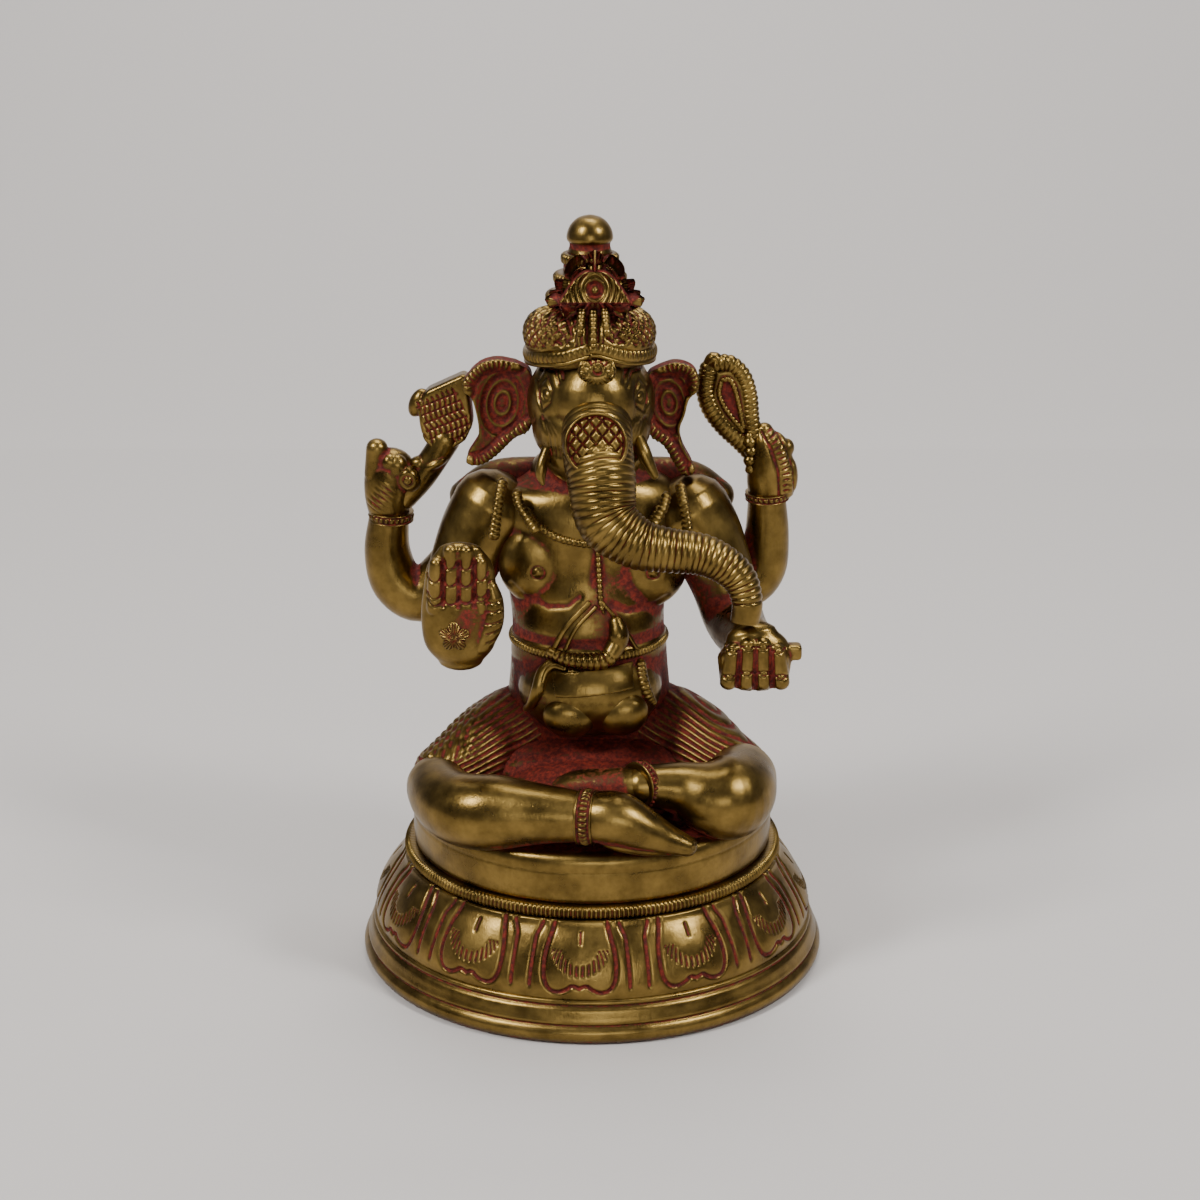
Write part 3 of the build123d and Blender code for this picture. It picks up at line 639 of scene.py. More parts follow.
def makeSeat():
    rx = (seatHigh[0] - seatLow[0]) / 2
    grow, lift = rx / 41.35, seatTop - 36.6
    outer = profileLine([(r * grow, z + lift) for r, z in seat["profile"]], 0.35)
    outer += [(25.0, seatTop), (15.0, seatTop), (0.5, seatTop)]
    inner = [(0.5, seatTop - 4.5), (30.0, seatTop - 4.6), (32.5, seatLow[2])]
    obj = ovalPiece("seatSlab", outer + inner, 480)
    applyModifier(obj, "WELD", merge_threshold=0.05)

    def paint(co, n):
        out = np.hypot(co[:, 0], co[:, 1] / narrow) / rx
        top = 1.1 * step01(n[:, 2], 0.5, 0.9) * (1 - step01(out, 0.86, 0.93))
        return top + 0.25 * (1 - step01(co[:, 2], seatLow[2] + 0.3, seatLow[2] + 1.6))

    finishPiece(obj, ["seat_block"], reach=1.2, gain=0.16, paint=paint)


makePetals()
makeFoot()
makeBeadRing()
makeSeat()
print("stage: lotus base, bead ring and seat done")


# Body
waist = nodeBox("hips")[1][2]
neckLevel = nodeBox("torso")[1][2]


def skinOf(obj):
    # A finder of the front of a surface: skin(x, z, lift) is the point on it, or above it by lift
    tree = BVHTree.FromPolygons([tuple(v) for v in coords(obj)], [tuple(f.vertices) for f in obj.data.polygons])

    def front(x, z, lift=0.0, fallback=-14.0):
        hit, normal, _, _ = tree.ray_cast(Vector((x, -90, z)), Vector((0, 1, 0)))
        if hit is None:
            return (x, fallback, z)
        if normal.y > 0:
            normal = -normal
        return tuple(hit + normal * lift)

    return front


body = {
    # share of the torso's height: half width, half depth, place of the middle back and across
    "chest": [(-0.08, 16.4, 14.4, 2.3, -0.8), (0.1, 16.0, 13.6, 2.6, -0.8), (0.25, 16.4, 12.6, 3.4, -0.9),
              (0.42, 17.8, 12.2, 4.4, -0.9),
              (0.6, 19.4, 12.3, 4.6, -0.8), (0.76, 20.4, 12.1, 4.6, -0.5), (0.9, 18.6, 10.2, 4.6, 0.0),
              (1.0, 13.0, 8.0, 4.6, 0.0)],
    "hips": [(-33.0, 20.0, 12.0, 4.0), (-22.0, 19.2, 12.2, 4.0), (-14.0, 17.6, 12.6, 3.6), (-8.0, 16.9, 13.2, 3.0),
             (-3.0, 16.5, 14.0, 2.4), (2.0, 16.3, 14.2, 2.3)],
}


def makeBody():
    tall = neckLevel - waist
    pieces = [
        tube("chest", [(x, y, waist + s * tall) for s, w, d, y, x in body["chest"]], [(w, d) for s, w, d, y, x in body["chest"]],
             64, 1.2),
        tube("hips", [(-0.6, y, waist + z) for z, w, d, y in body["hips"]], [(w, d) for z, w, d, y in body["hips"]], 64, 1.2,
             roundEnds=False),
        ball((-0.4, -3.8, waist - 8.4), (15.2, 12.3, 11.0)),
        ball((-9.2, -1.0, waist + 18.0), (10.4, 5.9, 10.0), (0, 0, 8)),
        ball((9.8, -1.0, waist + 17.6), (10.2, 5.9, 10.0), (0, 0, -8)),
        ball((0, 2.4, neckLevel + 2.6), (9.6, 8.6, 6.4)),
    ]
    obj = sculpt("bodySkin", pieces, 0.38, 11)
    z = waist

    def cut(co, n):
        front = step01(-n[:, 1], 0.0, 0.35)
        out = np.zeros(len(co))
        for x in (-11.1, 12.7):
            ring = np.hypot(co[:, 0] - x, co[:, 2] - z - 17.3)
            out -= groove(ring - 1.35, 0.3) * 0.4 * front
            out += groove(ring, 0.75) * 0.34 * front
        for crease in ([(-16.5, 14.4), (-14.3, 11.9), (-9.0, 10.3), (-5.0, 10.8), (-2.6, 12.6)],
                       [(4.4, 11.0), (7.4, 9.4), (12.5, 9.5), (15.6, 11.4)]):
            out -= chased(co, crease, 0.7, (0, 0, z)) * 0.3 * front
        # the chest's middle hollow, and the fold of skin over the belt
        hollow = groove(co[:, 0] - 1.2, 1.5) * 0.45 * front
        out -= hollow * step01(co[:, 2], z + 13, z + 17) * (1 - step01(co[:, 2], z + 26, z + 31))
        out -= groove(co[:, 2] - z - 3.2, 0.9) * 0.35 * front
        return out

    carve(obj, cut)
    return obj


def bodyPaint(co, n):
    z = co[:, 2] - waist
    side = step01(np.abs(n[:, 0]), 0.35, 0.9)
    back = step01(n[:, 1], -0.1, 0.5) * 0.35
    across = np.abs(co[:, 0] - 0.6)
    lowBelly = (1 - step01(z, -15.4, -12.6)) * 0.85
    lowBelly += 0.7 * groove(across - 14.6, 2.6) * (1 - step01(z, -3, 0)) * step01(z, -15, -12)
    underPlate = 0.9 * groove(z + 8.4, 1.2) * (across < 12)
    aboveBelt = groove(z - 3.6, 2.2) * 0.55
    middle = groove(co[:, 0] - 1.4, 4.0) * step01(z, 1, 5) * (1 - step01(z, 20, 26)) * 0.62
    leftChest = groove(co[:, 0] - 7.6, 5.0) * groove(z - 11, 7) * 0.5
    rightRib = groove(co[:, 0] + 10.0, 6.0) * groove(z - 8, 4) * 0.3
    underNeck = step01(z, 27, 32) * 0.5
    flank = side * (1 - step01(z, 10, 22)) * 0.5
    return 0.06 + lowBelly + underPlate + aboveBelt + middle + leftChest + rightRib + flank + back + underNeck


bodySkin = makeBody()
skin = skinOf(bodySkin)


def makeBelly():
    # What lies under the snake: a flat plate, two full folds and the hollow under them
    lobes = []
    for x, z, turn in ((-4.7, 57.5, 14), (6.4, 57.9, -24)):
        lobes.append(ball((x, skin(x, z - 70 + waist)[1] + 0.9, waist + z - 69.4), (5.5, 3.1, 4.5), (0, turn, 0)))
    obj = sculpt("bellyFolds", lobes, 0.25, 6)

    def paint(co, n):
        z = co[:, 2] - waist + 70
        return 0.75 * (1 - step01(n[:, 2], -0.75, -0.3)) + 0.5 * (1 - step01(z, 54.0, 56.5)) + 0.6 * groove(co[:, 0] - 1.0, 1.6)

    finishPiece(obj, ["belly"], paint=paint, reach=1.4)
    corners = [(-7.3, 63.0), (-8.0, 67.5), (8.2, 68.9), (8.2, 64.4)]
    grid = []
    for t in np.linspace(0, 1, 15):
        for s in np.linspace(0, 1, 41):
            px = (corners[0][0] * (1 - t) + corners[1][0] * t) * (1 - s) + (corners[3][0] * (1 - t) + corners[2][0] * t) * s
            pz = (corners[0][1] * (1 - t) + corners[1][1] * t) * (1 - s) + (corners[3][1] * (1 - t) + corners[2][1] * t) * s
            grid.append(skin(px, pz - 70 + waist, 0.9))
    plate = meshPiece("bellyPlate", grid, gridFaces(15, 41, wrapColumns=False))
    applyModifier(plate, "SOLIDIFY", thickness=2.0, offset=-1.0)
    applyModifier(plate, "REMESH", mode="VOXEL", voxel_size=0.22)
    applyModifier(plate, "SMOOTH", factor=0.6, iterations=8)
    finishPiece(fixNormals(plate), ["belly_plate"], reach=1.2, paint=lambda co, n: 0.35 * (1 - step01(n[:, 2], -0.6, 0.0)))


makeBelly()


def skinLine(points, lift=0.5):
    return [skin(x, z, lift) for x, z in points]


def makeOrnaments():
    z = waist
    # The snake: ribs over the belt, then its smooth head lifted to the figure's left
    path = [skin(-8.2, z + 1.4, 0.5), skin(-5.0, z + 0.4, 1.0), skin(-1.0, z - 0.4, 1.2), skin(2.6, z + 0.4, 1.3),
            skin(4.7, z + 2.6, 1.4),
            skin(5.1, z + 5.2, 1.4), skin(4.7, z + 7.6, 1.1)]
    sizes = [1.0, 1.5, 1.75, 1.85, 2.05, 2.1, 1.5]

    def ribs(run, share, angle):
        fade = step01(share, 0.02, 0.1) * (1 - step01(share, 0.56, 0.68))
        return -0.4 * ribGap(run, 1.2, 1.6) * fade

    snake = tube("waistSnake", path, sizes, 28, 0.11, ribs)
    finishPiece(snake, ["snake_belt"], reach=0.7, gain=0.16, paint=lambda co, n: 0.12 + 0.5 * (1 - step01(n[:, 2], -0.7, -0.2)))

    # The belt of small teeth, closed behind
    angle = np.linspace(0, 2 * pi, 1200, endpoint=False)
    rows = []
    for lift, up, tooth in ((-1.6, -0.9, 0), (0.1, -0.9, 0.4), (0.55, -0.5, 1), (0.7, 0, 1), (0.55, 0.5, 1), (0.1, 0.9, 0.4),
                            (-1.6, 0.9, 0)):
        notch = -0.36 * tooth * np.abs(np.cos(angle * 56)) ** 4
        sag = 0.9 * np.cos(angle) ** 2 * (np.cos(angle) > 0)
        rows.append(np.stack([-0.7 + (16.3 + lift + notch) * np.sin(angle), 2.4 - (14.5 + lift + notch) * np.cos(angle),
                              z + 0.8 + up - sag * 0.4], axis=1))
    belt = fixNormals(meshPiece("beltTeeth", np.vstack(rows), gridFaces(7, 1200, wrapRows=True)))
    finishPiece(belt, ["waist_belt"], reach=0.6, gain=0.2, paint=0.34)

    # The cloth tabs that hang from it
    left = tube("tabSmooth", skinLine([(-8.0, z - 1.4), (-9.8, z - 3.2), (-10.9, z - 6.4), (-12.2, z - 9.8), (-13.4, z - 11.6)],
                                      0.4),
                [(1.4, 0.9), (1.5, 1.0), (1.4, 1.0), (1.1, 0.9), (0.7, 0.7)], 20, 0.25)
    finishPiece(left, ["belt_tabs"])
    curl = tube("tabFold", skinLine([(-5.4, z - 1.8), (-7.4, z - 1.6), (-9.0, z - 2.6), (-9.8, z - 4.6)], 0.6),
                [0.6, 0.75, 0.75, 0.5], 14, 0.25)
    finishPiece(curl, ["belt_tabs"])

    def tabRibs(run, share, angle):
        return -0.28 * ribGap(run, 1.0, 1.3) * (np.cos(angle) > -0.2)

    right = tube("tabRibbed", skinLine([(9.8, z - 1.6), (10.4, z - 4.6), (11.4, z - 7.8), (12.6, z - 10.2)], 0.3),
                 [(1.2, 0.9)] * 3 + [(0.8, 0.7)], 20, 0.12, tabRibs)
    finishPiece(right, ["belt_tabs"], reach=0.6, gain=0.2, paint=0.15)

    # The thread over the chest: two bands down to the figure's right, one to its left
    for i, (start, end, wide) in enumerate((((-0.6, z + 11.4), (-7.9, z + 1.6), 0.62), ((0.8, z + 10.6), (-5.4, z + 2.0), 0.45),
                                            ((2.2, z + 11.4), (9.2, z + 1.6), 0.42))):
        mid = ((start[0] + end[0]) / 2 - (1.0 if i < 2 else -0.6), (start[1] + end[1]) / 2)
        thread = tube(f"chestThread{i + 1}", skinLine([start, mid, end], 0.1), [(wide, 0.5)] * 3, 12, 0.3)
        finishPiece(thread, ["sacred_thread"], reach=0.8)

    # The beaded cord that hangs down the middle of the chest
    cord = tube("chestCord", skinLine([(1.2, z + 25.5), (1.3, z + 21), (1.6, z + 15), (1.9, z + 11.4), (2.4, z + 9.6)], 0.0),
                [0.6, 0.65, 0.7, 0.7, 0.5], 16, 0.14, ribbed(0.26, 1.15, 0.9))
    finishPiece(cord, ["chest_strand"], reach=0.6, gain=0.2, paint=0.5)

    # The collar runs on from the inner tassel of each shoulder; the outer ones hang in front of the arms
    collar = tube("collarBeads", skinLine([(-13.0, z + 30.0), (-10.8, z + 27.2), (-6.4, z + 24.8), (0.6, z + 23.6),
                                           (7.2, z + 24.8), (11.4, z + 27.2), (13.6, z + 30.0)], 0.2),
                  [(0.85, 0.7)] * 7, 16, 0.14, ribbed(0.26, 1.05, 1.2))
    finishPiece(collar, ["necklace"], reach=0.6, gain=0.2, paint=0.3)
    tassels = [[(-18.0, -5.0, z + 36.4), (-18.6, -8.4, z + 33.8), (-19.2, -9.4, z + 30.2), (-19.8, -9.6, z + 26.0)],
               [(-15.3, -5.4, z + 34.2), (-14.6, -7.6, z + 32.0), (-13.2, -8.6, z + 30.0), (-11.4, -9.2, z + 27.4)],
               [(17.9, -5.0, z + 35.6), (18.5, -8.4, z + 33.0), (19.1, -9.4, z + 29.6), (19.6, -9.6, z + 25.6)],
               [(15.3, -5.4, z + 33.6), (14.6, -7.6, z + 31.6), (13.4, -8.6, z + 29.6), (12.0, -9.2, z + 27.2)]]
    for i, path in enumerate(tassels):
        tassel = tube(f"shoulderTassel{i + 1}", path, [(1.1, 0.8)] * 3 + [(1.25, 0.9)], 18, 0.13, ribbed(0.26, 1.05, 1.2))
        finishPiece(tassel, ["shoulder_tassels"], reach=0.6, gain=0.2, paint=0.15)


makeOrnaments()
finishPiece(bodySkin, ["torso", "neck", "hips"], paint=bodyPaint, reach=2.2)
print("stage: body and its ornaments done")


# Legs and lap
def makeLegs():
    s = seatTop
    lap = sculpt("lapCloth", [ball((0, -13.5, s + 5.0), (18.0, 13.0, 7.0)), ball((0, -4, s + 6), (22, 13, 9))], 0.44, 6)
    carve(lap, lambda co, n: -0.16 * groove(((co[:, 2] - s + 0.22 * np.abs(co[:, 0])) / 1.9) % 1 - 0.5,
                                            0.2) * step01(n[:, 2], -0.1, 0.3))
    finishPiece(lap, ["lap_cloth"], *rubbed, paint=0.8)

    for side, sign in (("right", -1), ("left", 1)):
        up = 0.0 if sign < 0 else 0.6
        path = [(sign * 6.5, 4.0, s + 13.0), (sign * 13.5, 3.2, s + 12.4), (sign * 20.0, 0.4, s + 10.2 + up),
                (sign * 26.2, -5.4, s + 7.6 + up), (sign * 31.2, -10.0, s + 6.6 + up)]
        thigh = sculpt(f"{side}ThighCloth", [tube("thigh", path, [(10.6, 10.8), (10.2, 10.2), (9.8, 9.4), (8.8, 8.3), (7.2, 7.0)],
                                                  48, 1.0)], 0.34, 5)

        def pleats(co, n):
            x, y, z = np.abs(co[:, 0]), co[:, 1], co[:, 2] - s
            slope = 0.24 + 0.028 * (z - 6)
            wave = 0.5 * np.sin(x * 0.55) + 0.4 * np.sin(x * 0.23 + z * 0.5)
            phase = (z + slope * (x - 18) + 0.10 * y + 0.3 * wave) / 1.5
            lines = np.abs((phase % 1) - 0.5) * 2
            depth = -0.42 * (1 - lines) ** 1.7
            hem = groove(x - 30.5, 6.5) * step01(z, 11.0, 12.6) * (sign < 0)
            texture = 0.26 * np.sin(x * 3.3 + z * 1.2) * np.sin(z * 3.1 - y * 2.4 + x * 0.8)
            return depth * (1 - hem) + texture * hem

        def clothPaint(co, n):
            x, z = np.abs(co[:, 0]), co[:, 2] - s
            hem = groove(x - 30.5, 6.5) * step01(z, 11.0, 12.6) * (sign < 0)
            return 0.5 + 0.35 * (1 - step01(x, 15, 26)) - 0.35 * hem

        carve(thigh, pleats)
        finishPiece(thigh, [f"{side}_thigh"], *rubbed, paint=clothPaint, gain=0.2)

    shins = {
        "right": ([(-32.4, -13.6, s + 6.0), (-30.6, -18.8, s + 5.7), (-27.6, -23.4, s + 5.6), (-23.6, -26.2, s + 5.9),
                   (-18.7, -27.4, s + 6.3), (-10.0, -29.6, s + 7.0), (-2.0, -31.2, s + 7.1)],
                  [6.6, 7.0, 7.4, 7.7, 7.6, 6.1, 5.1]),
        "left": ([(31.4, -12.4, s + 7.2), (29.8, -18.2, s + 6.8), (27.4, -21.6, s + 6.9), (23.2, -22.4, s + 7.7),
                  (17.6, -22.2, s + 9.4), (9.8, -23.6, s + 10.6)],
                 [7.6, 8.5, 8.7, 7.4, 5.4, 4.1]),
    }
    for side, (path, sizes) in shins.items():
        shin = sculpt(f"{side}Shin", [tube("shin", path, [(r, r * 0.98) for r in sizes], 48, 1.0)], 0.36, 4)

        def shinPaint(co, n):
            return 1.1 * (1 - step01(n[:, 2], -0.72, -0.35)) + 0.3 * step01(n[:, 1], 0.2, 0.7)

        finishPiece(shin, [f"{side}_shin"], paint=shinPaint, reach=2.4)

    foot = sculpt("rightFoot", [
        tube("sole", [(-1.0, -31.4, s + 7.2), (4.8, -32.4, s + 7.3), (10.0, -33.0, s + 5.3), (15.0, -33.2, s + 3.1),
                      (19.4, -33.4, s + 1.6)],
             [(5.0, 5.0), (5.5, 5.4), (4.6, 4.7), (3.2, 3.4), (2.1, 2.4)], 40, 0.7, side=(0, -1, 0.2)),
        ball((11.0, -33.4, s + 2.0), (9.4, 2.6, 2.2), (0, 4, 0)),
    ], 0.28, 8)

    def toes(co, n):
        out = np.zeros(len(co))
        for k in range(4):
            line, _ = pathDistance(co, [(16.6, -33.0 - k * 0.9, s + 5.4 - k * 1.05), (21.0, -33.4 - k * 0.9, s + 3.4 - k * 0.85)])
            out -= groove(line, 0.34) * 0.3
        return out

    carve(foot, toes)
    finishPiece(foot, ["right_foot"], paint=lambda co, n: 1.1 * (1 - step01(n[:, 2], -0.75, -0.35)), reach=1.8)
    back = sculpt("leftFoot", [tube("sole", [(10.5, -23.4, s + 10.4), (4.0, -22.6, s + 9.6), (-3.0, -20.8, s + 8.6),
                                             (-7.5, -19.4, s + 7.6)],
                                    [(4.0, 4.0), (4.1, 4.1), (3.8, 4.0), (2.4, 3.0)], 36, 0.7)], 0.34, 5)
    finishPiece(back, ["left_foot"], *rubbed, paint=lambda co, n: 1.0 - 0.8 * step01(co[:, 0], 6.0, 8.5), reach=1.8)

    # Anklets: two plain edges with a row of beads between
    makeBandedRing("rightAnklet", (-0.9, -31.4, s + 7.15), (1.0, -0.2, 0.02), 5.15, 3.6, ["right_anklet"], beads=30)
    makeBandedRing("leftAnklet", (10.0, -24.0, s + 11.0), (-1.0, -0.9, 0.1), 4.35, 2.2, ["left_anklet"], beads=28, paintShare=0.8)


def makeBandedRing(name, place, along, radius, width, nodes, beads=28, stand=0.55, paintShare=0.35):
    # A band round a limb: a raised line at each edge and a row of beads in the hollow between
    across = Vector(along).normalized()
    up = Vector((0, 0, 1)) if abs(across.z) < 0.9 else Vector((0, -1, 0))
    side = across.cross(up).normalized()
    up = side.cross(across).normalized()
    count = beads * 10
    angle = np.linspace(0, 2 * pi, count, endpoint=False)
    levels = []
    for t in np.linspace(-1, 1, 23):
        edge = groove(abs(t) - 0.86, 0.13) * stand
        bead = np.abs(np.sin(angle * beads / 2)) ** 0.8 * sqrt(max(0.0, 1 - (t / 0.52) ** 2)) * stand * 1.15
        levels.append((t, radius + np.maximum(edge, bead)))
    levels += [(t, radius - 1.4) for t in (1, -1)]
    rows = []
    for t, r in levels:
        at = np.outer(np.cos(angle) * r, np.array(side)) + np.outer(np.sin(angle) * r, np.array(up))
        rows.append(at + np.array(place) + np.array(across) * t * width / 2)
    obj = fixNormals(meshPiece(name, np.vstack(rows), gridFaces(len(rows), count, wrapRows=True)))
    return finishPiece(obj, nodes, paint=paintShare, reach=0.6, gain=0.2)


makeLegs()
print("stage: legs and lap done")


# Cape, arms and hands
def makeCape():
    low, high = nodeBox("shoulder_cape")
    y, top = (low[1] + high[1]) / 2 - 0.6, high[2]
    shape = [tube("capeHalf", [(sign * 2, y, top - 4.2), (sign * 12, y, top - 3.6), (sign * 20.5, y - 0.4, top - 4.2),
                               (sign * 26.6, y - 1.0, top - 7.4)],
                  [(4.6, 3.8), (4.6, 3.8), (4.4, 4.4), (3.6, 4.2)], 36, 1.0, side=(0, -1, 0)) for sign in (-1, 1)]
    cape = sculpt("shoulderCape", shape, 0.34, 6)
    finishPiece(cape, ["shoulder_cape"], *rubbed, paint=0.7)


armPaths = {
    "front_right": ([(-20.6, 3.6, 98.4), (-24.0, 2.6, 92.6), (-27.6, 0.4, 84.0), (-29.0, -3.4, 78.2), (-28.6, -10.6, 77.6),
                     (-27.2, -19.6, 79.6)],
                    [8.6, 8.0, 6.9, 6.3, 5.6, 4.6]),
    "front_left": ([(20.4, 3.6, 97.4), (23.8, 2.6, 91.6), (27.4, 0.4, 83.0), (29.4, -3.4, 76.8), (30.8, -11.0, 75.8),
                    (32.2, -19.6, 77.2)],
                   [8.6, 8.0, 6.9, 6.3, 5.6, 4.8]),
    "rear_right": ([(-18.0, 9.0, 96.0), (-27.5, 9.0, 85.6), (-35.6, 9.0, 77.4), (-41.4, 9.0, 80.0), (-43.4, 9.0, 87.0),
                    (-42.8, 8.6, 94.6)],
                   [6.0, 5.7, 5.9, 5.6, 4.9, 4.2]),
    "rear_left": ([(18.0, 9.0, 95.6), (26.0, 9.0, 87.0), (32.0, 9.0, 80.4), (36.0, 9.0, 83.4), (37.0, 9.0, 90.6),
                   (36.8, 8.6, 98.6)],
                  [6.0, 5.7, 5.8, 5.3, 4.7, 4.0]),
}


def makeArms():
    for name, (path, sizes) in armPaths.items():
        front = name.startswith("front")
        left = "left" in name
        arm = sculpt(name.replace("_", ""), [tube("arm", path, sizes, 44, 1.0, side=(0, -1, 0.3))], 0.36, 5)

        def armPigmentAndShade(co, n):
            # Red pigment plus painted shade: the inner side facing the torso and the low front forearms, most on the
            # left one under the trunk, are painted darker red
            inner = step01(-np.sign(co[:, 0]) * n[:, 0], 0.1, 0.9) * 0.4
            back = step01(n[:, 1], 0.0, 0.6) * 0.35
            if front:
                return inner + back + (1 - step01(co[:, 2], 84, 92)) * (0.75 if left else 0.4)
            return inner + back + 0.1 * (1 - step01(n[:, 2], -0.7, 0.0)) + 0.5 * groove(np.abs(co[:, 0]) - 31, 4)

        finishPiece(arm, [f"{name}_arm"], paint=armPigmentAndShade, reach=2.2)


def capsule(start, end, radius, tip=None):
    middle = tuple((a + b) / 2 for a, b in zip(start, end))
    return tube("finger", [start, middle, end], [radius, radius, tip or radius], 20, 0.5)


# Each finger of the open hand: place across, height of its tip, lean
palmFingers = ((-4.7, 9.6, 0.2), (-1.7, 12.3, 0.0), (1.4, 12.2, 0.0), (4.3, 9.9, -0.2))


def makePalm():
    low, high = nodeBox("front_right_hand")
    x, z = (low[0] + high[0]) / 2 - 0.7, (low[2] + high[2]) / 2 + 0.5
    y = -25.0
    palm = [tube("palm", [(x, y + 0.8, z - 11.2), (x, y, z - 7.6), (x, y, z - 2.0), (x + 0.3, y - 0.2, z + 4.0),
                          (x + 0.4, y - 0.6, z + 9.0), (x + 0.4, y - 0.8, z + 12.0)],
                 [(4.6, 2.6), (7.0, 3.6), (7.6, 3.6), (7.2, 3.0), (6.4, 2.4), (4.4, 1.8)], 48, 0.7)]
    fingers = palmFingers
    for dx, top, lean in fingers:
        palm.append(capsule((x + dx * 1.02, y - 1.6, z + 0.2), (x + dx + 0.3 + lean, y - 1.9, z + top), 1.58, tip=1.4))
    palm.append(tube("thumb", [(x + 4.4, y - 1.2, z - 7.4), (x + 6.6, y - 1.6, z - 3.0), (x + 7.1, y - 1.6, z + 1.4),
                               (x + 6.4, y - 1.4, z + 4.6)], [2.2, 2.1, 1.8, 1.4], 20, 0.5))
    hand = sculpt("palmRight", palm, 0.22, 5)

    def creases(co, n):
        front = step01(-n[:, 1], 0.0, 0.3)
        out = np.zeros(len(co))
        for k, (dx, top, _) in enumerate(fingers):
            for h in (top - 3.1, top - 6.6, 1.6 + 0.3 * k % 2):
                cx, cz = x + dx + 0.2, z + h + 1.1
                d = np.hypot(co[:, 0] - cx, co[:, 2] - cz)
                arc = groove(d - 1.5, 0.26) * (co[:, 2] < cz + 0.1)
                out -= arc * 0.34
        for k in range(3):
            gx = x + (fingers[k][0] + fingers[k + 1][0]) / 2 + 0.2
            out -= chased(co, [(gx, z + 1.2), (gx + 0.3, z + 10.2)], 0.42) * 0.42
        for h in (-6.0, -4.0, -2.0, 0.4, 2.2):
            out -= chased(co, [(x + 5.4, z + h - 0.5), (x + 8.4, z + h)], 0.25) * 0.3
        return out * front

    carve(hand, creases)

    def palmPaint(co, n):
        middle = groove(co[:, 0] - x - 1.6, 3.2) * groove(co[:, 2] - z + 0.5, 6.5) * 0.8
        gaps = 0
        for k in range(3):
            gx = x + (fingers[k][0] + fingers[k + 1][0]) / 2 + 0.3
            long = step01(co[:, 2], z + 0.5, z + 3) * (1 - step01(co[:, 2], z + 9, z + 11.5))
            gaps = gaps + groove(co[:, 0] - gx, 0.38) * long
        return (middle + gaps * 0.8) * step01(-n[:, 1], 0.0, 0.3)

    finder = skinOf(hand)
    finishPiece(hand, ["front_right_hand"], paint=palmPaint, reach=1.0, gain=0.2)
    # The flower in the palm: five round petals, each fluted like a fan
    low, high = nodeBox("palm_flower")
    cx, cz = (low[0] + high[0]) / 2 + 0.4, (low[2] + high[2]) / 2 - 0.6
    rows, spokes = 16, 200
    angle = np.linspace(0, 2 * pi, spokes, endpoint=False)
    verts = []
    for t in np.linspace(0.02, 1.0, rows):
        edge = 2.1 + 1.15 * np.abs(np.cos(angle * 2.5))
        r = edge * t
        lift = 0.55 * np.sin(pi * min(t * 0.9 + 0.1, 1.0)) + 0.16 * np.cos(angle * 25) * t
        lift = lift + (0.5 * (1 - t / 0.3) if t < 0.3 else 0)  # the raised middle
        lift = np.where(np.full_like(angle, t) > 0.95, -0.3, lift)
        for a, rr, up in zip(angle, r, lift * np.ones_like(angle)):
            px, pz = cx + rr * sin(a), cz + rr * cos(a)
            hit = finder(px, pz, 0.0, y - 3)
            verts.append((px, hit[1] - up - 0.1, pz))
    flower = meshPiece("palmFlower", verts, gridFaces(rows, spokes) + [tuple(range(spokes))])
    finishPiece(fixNormals(flower), ["palm_flower"], reach=0.6, gain=0.14, paint=0.35)


def makeLeftHand():
    low, high = nodeBox("front_left_hand")
    x, top, bottom = 32.4, high[2] - 0.2, low[2] - 0.9
    y = -25.4
    mid = (top + bottom) / 2
    pieces = [tube("back", [(x - 0.6, y + 0.6, top - 3.6), (x, y, mid), (x, y - 0.4, bottom + 1.8)],
                   [(5.2, 3.0), (7.3, 3.6), (6.9, 2.9)], 44, 0.6),
              block((x, y, bottom + 4.2), (13.6, 5.4, 7.6), 1.2)]
    for dx in (-5.25, -1.75, 1.75, 5.25):
        pieces.append(capsule((x + dx * 0.8, y - 2.0, mid + 2.6 - 0.05 * dx * dx), (x + dx, y - 2.5, bottom + 1.75), 1.75))
    pieces.append(block((x + 7.6, y + 0.4, mid + 0.2), (3.6, 3.2, 3.2), 0.7))
    hand = sculpt("restingHand", pieces, 0.22, 5)

    def creases(co, n):
        front = step01(-n[:, 1], 0.0, 0.3)
        out = np.zeros(len(co))
        for gx in (-3.5, 0.0, 3.5):
            out -= chased(co, [(x + gx * 0.9, mid + 1.6), (x + gx, bottom - 1)], 0.4) * 0.45
        for dx in (-5.25, -1.75, 1.75, 5.25):
            for h in (2.5, -2.8):
                cx, cz = x + dx * (0.88 if h > 0 else 0.98), mid + h - 0.03 * dx * dx
                for flip in (1, -1):
                    d = np.hypot(co[:, 0] - cx, (co[:, 2] - cz - flip * 1.2))
                    out -= groove(d - 1.7, 0.22) * 0.3 * (flip * (co[:, 2] - cz) < 0.15)
        return out * front

    carve(hand, creases)

    def gaps(co, n):
        out = 0
        for gx in (-3.5, 0.0, 3.5):
            out = out + groove(co[:, 0] - x - gx, 0.4) * (1 - step01(co[:, 2], mid + 0.6, mid + 2.4))
        return (out * 0.9 + 0.25 * groove(co[:, 0] - x - 4.2, 3.0)) * step01(-n[:, 1], -0.1, 0.3)

    finishPiece(hand, ["front_left_hand"], paint=gaps, reach=1.0, gain=0.2)


makeCape()
makeArms()
makePalm()
makeLeftHand()
print("stage: arms and front hands done")


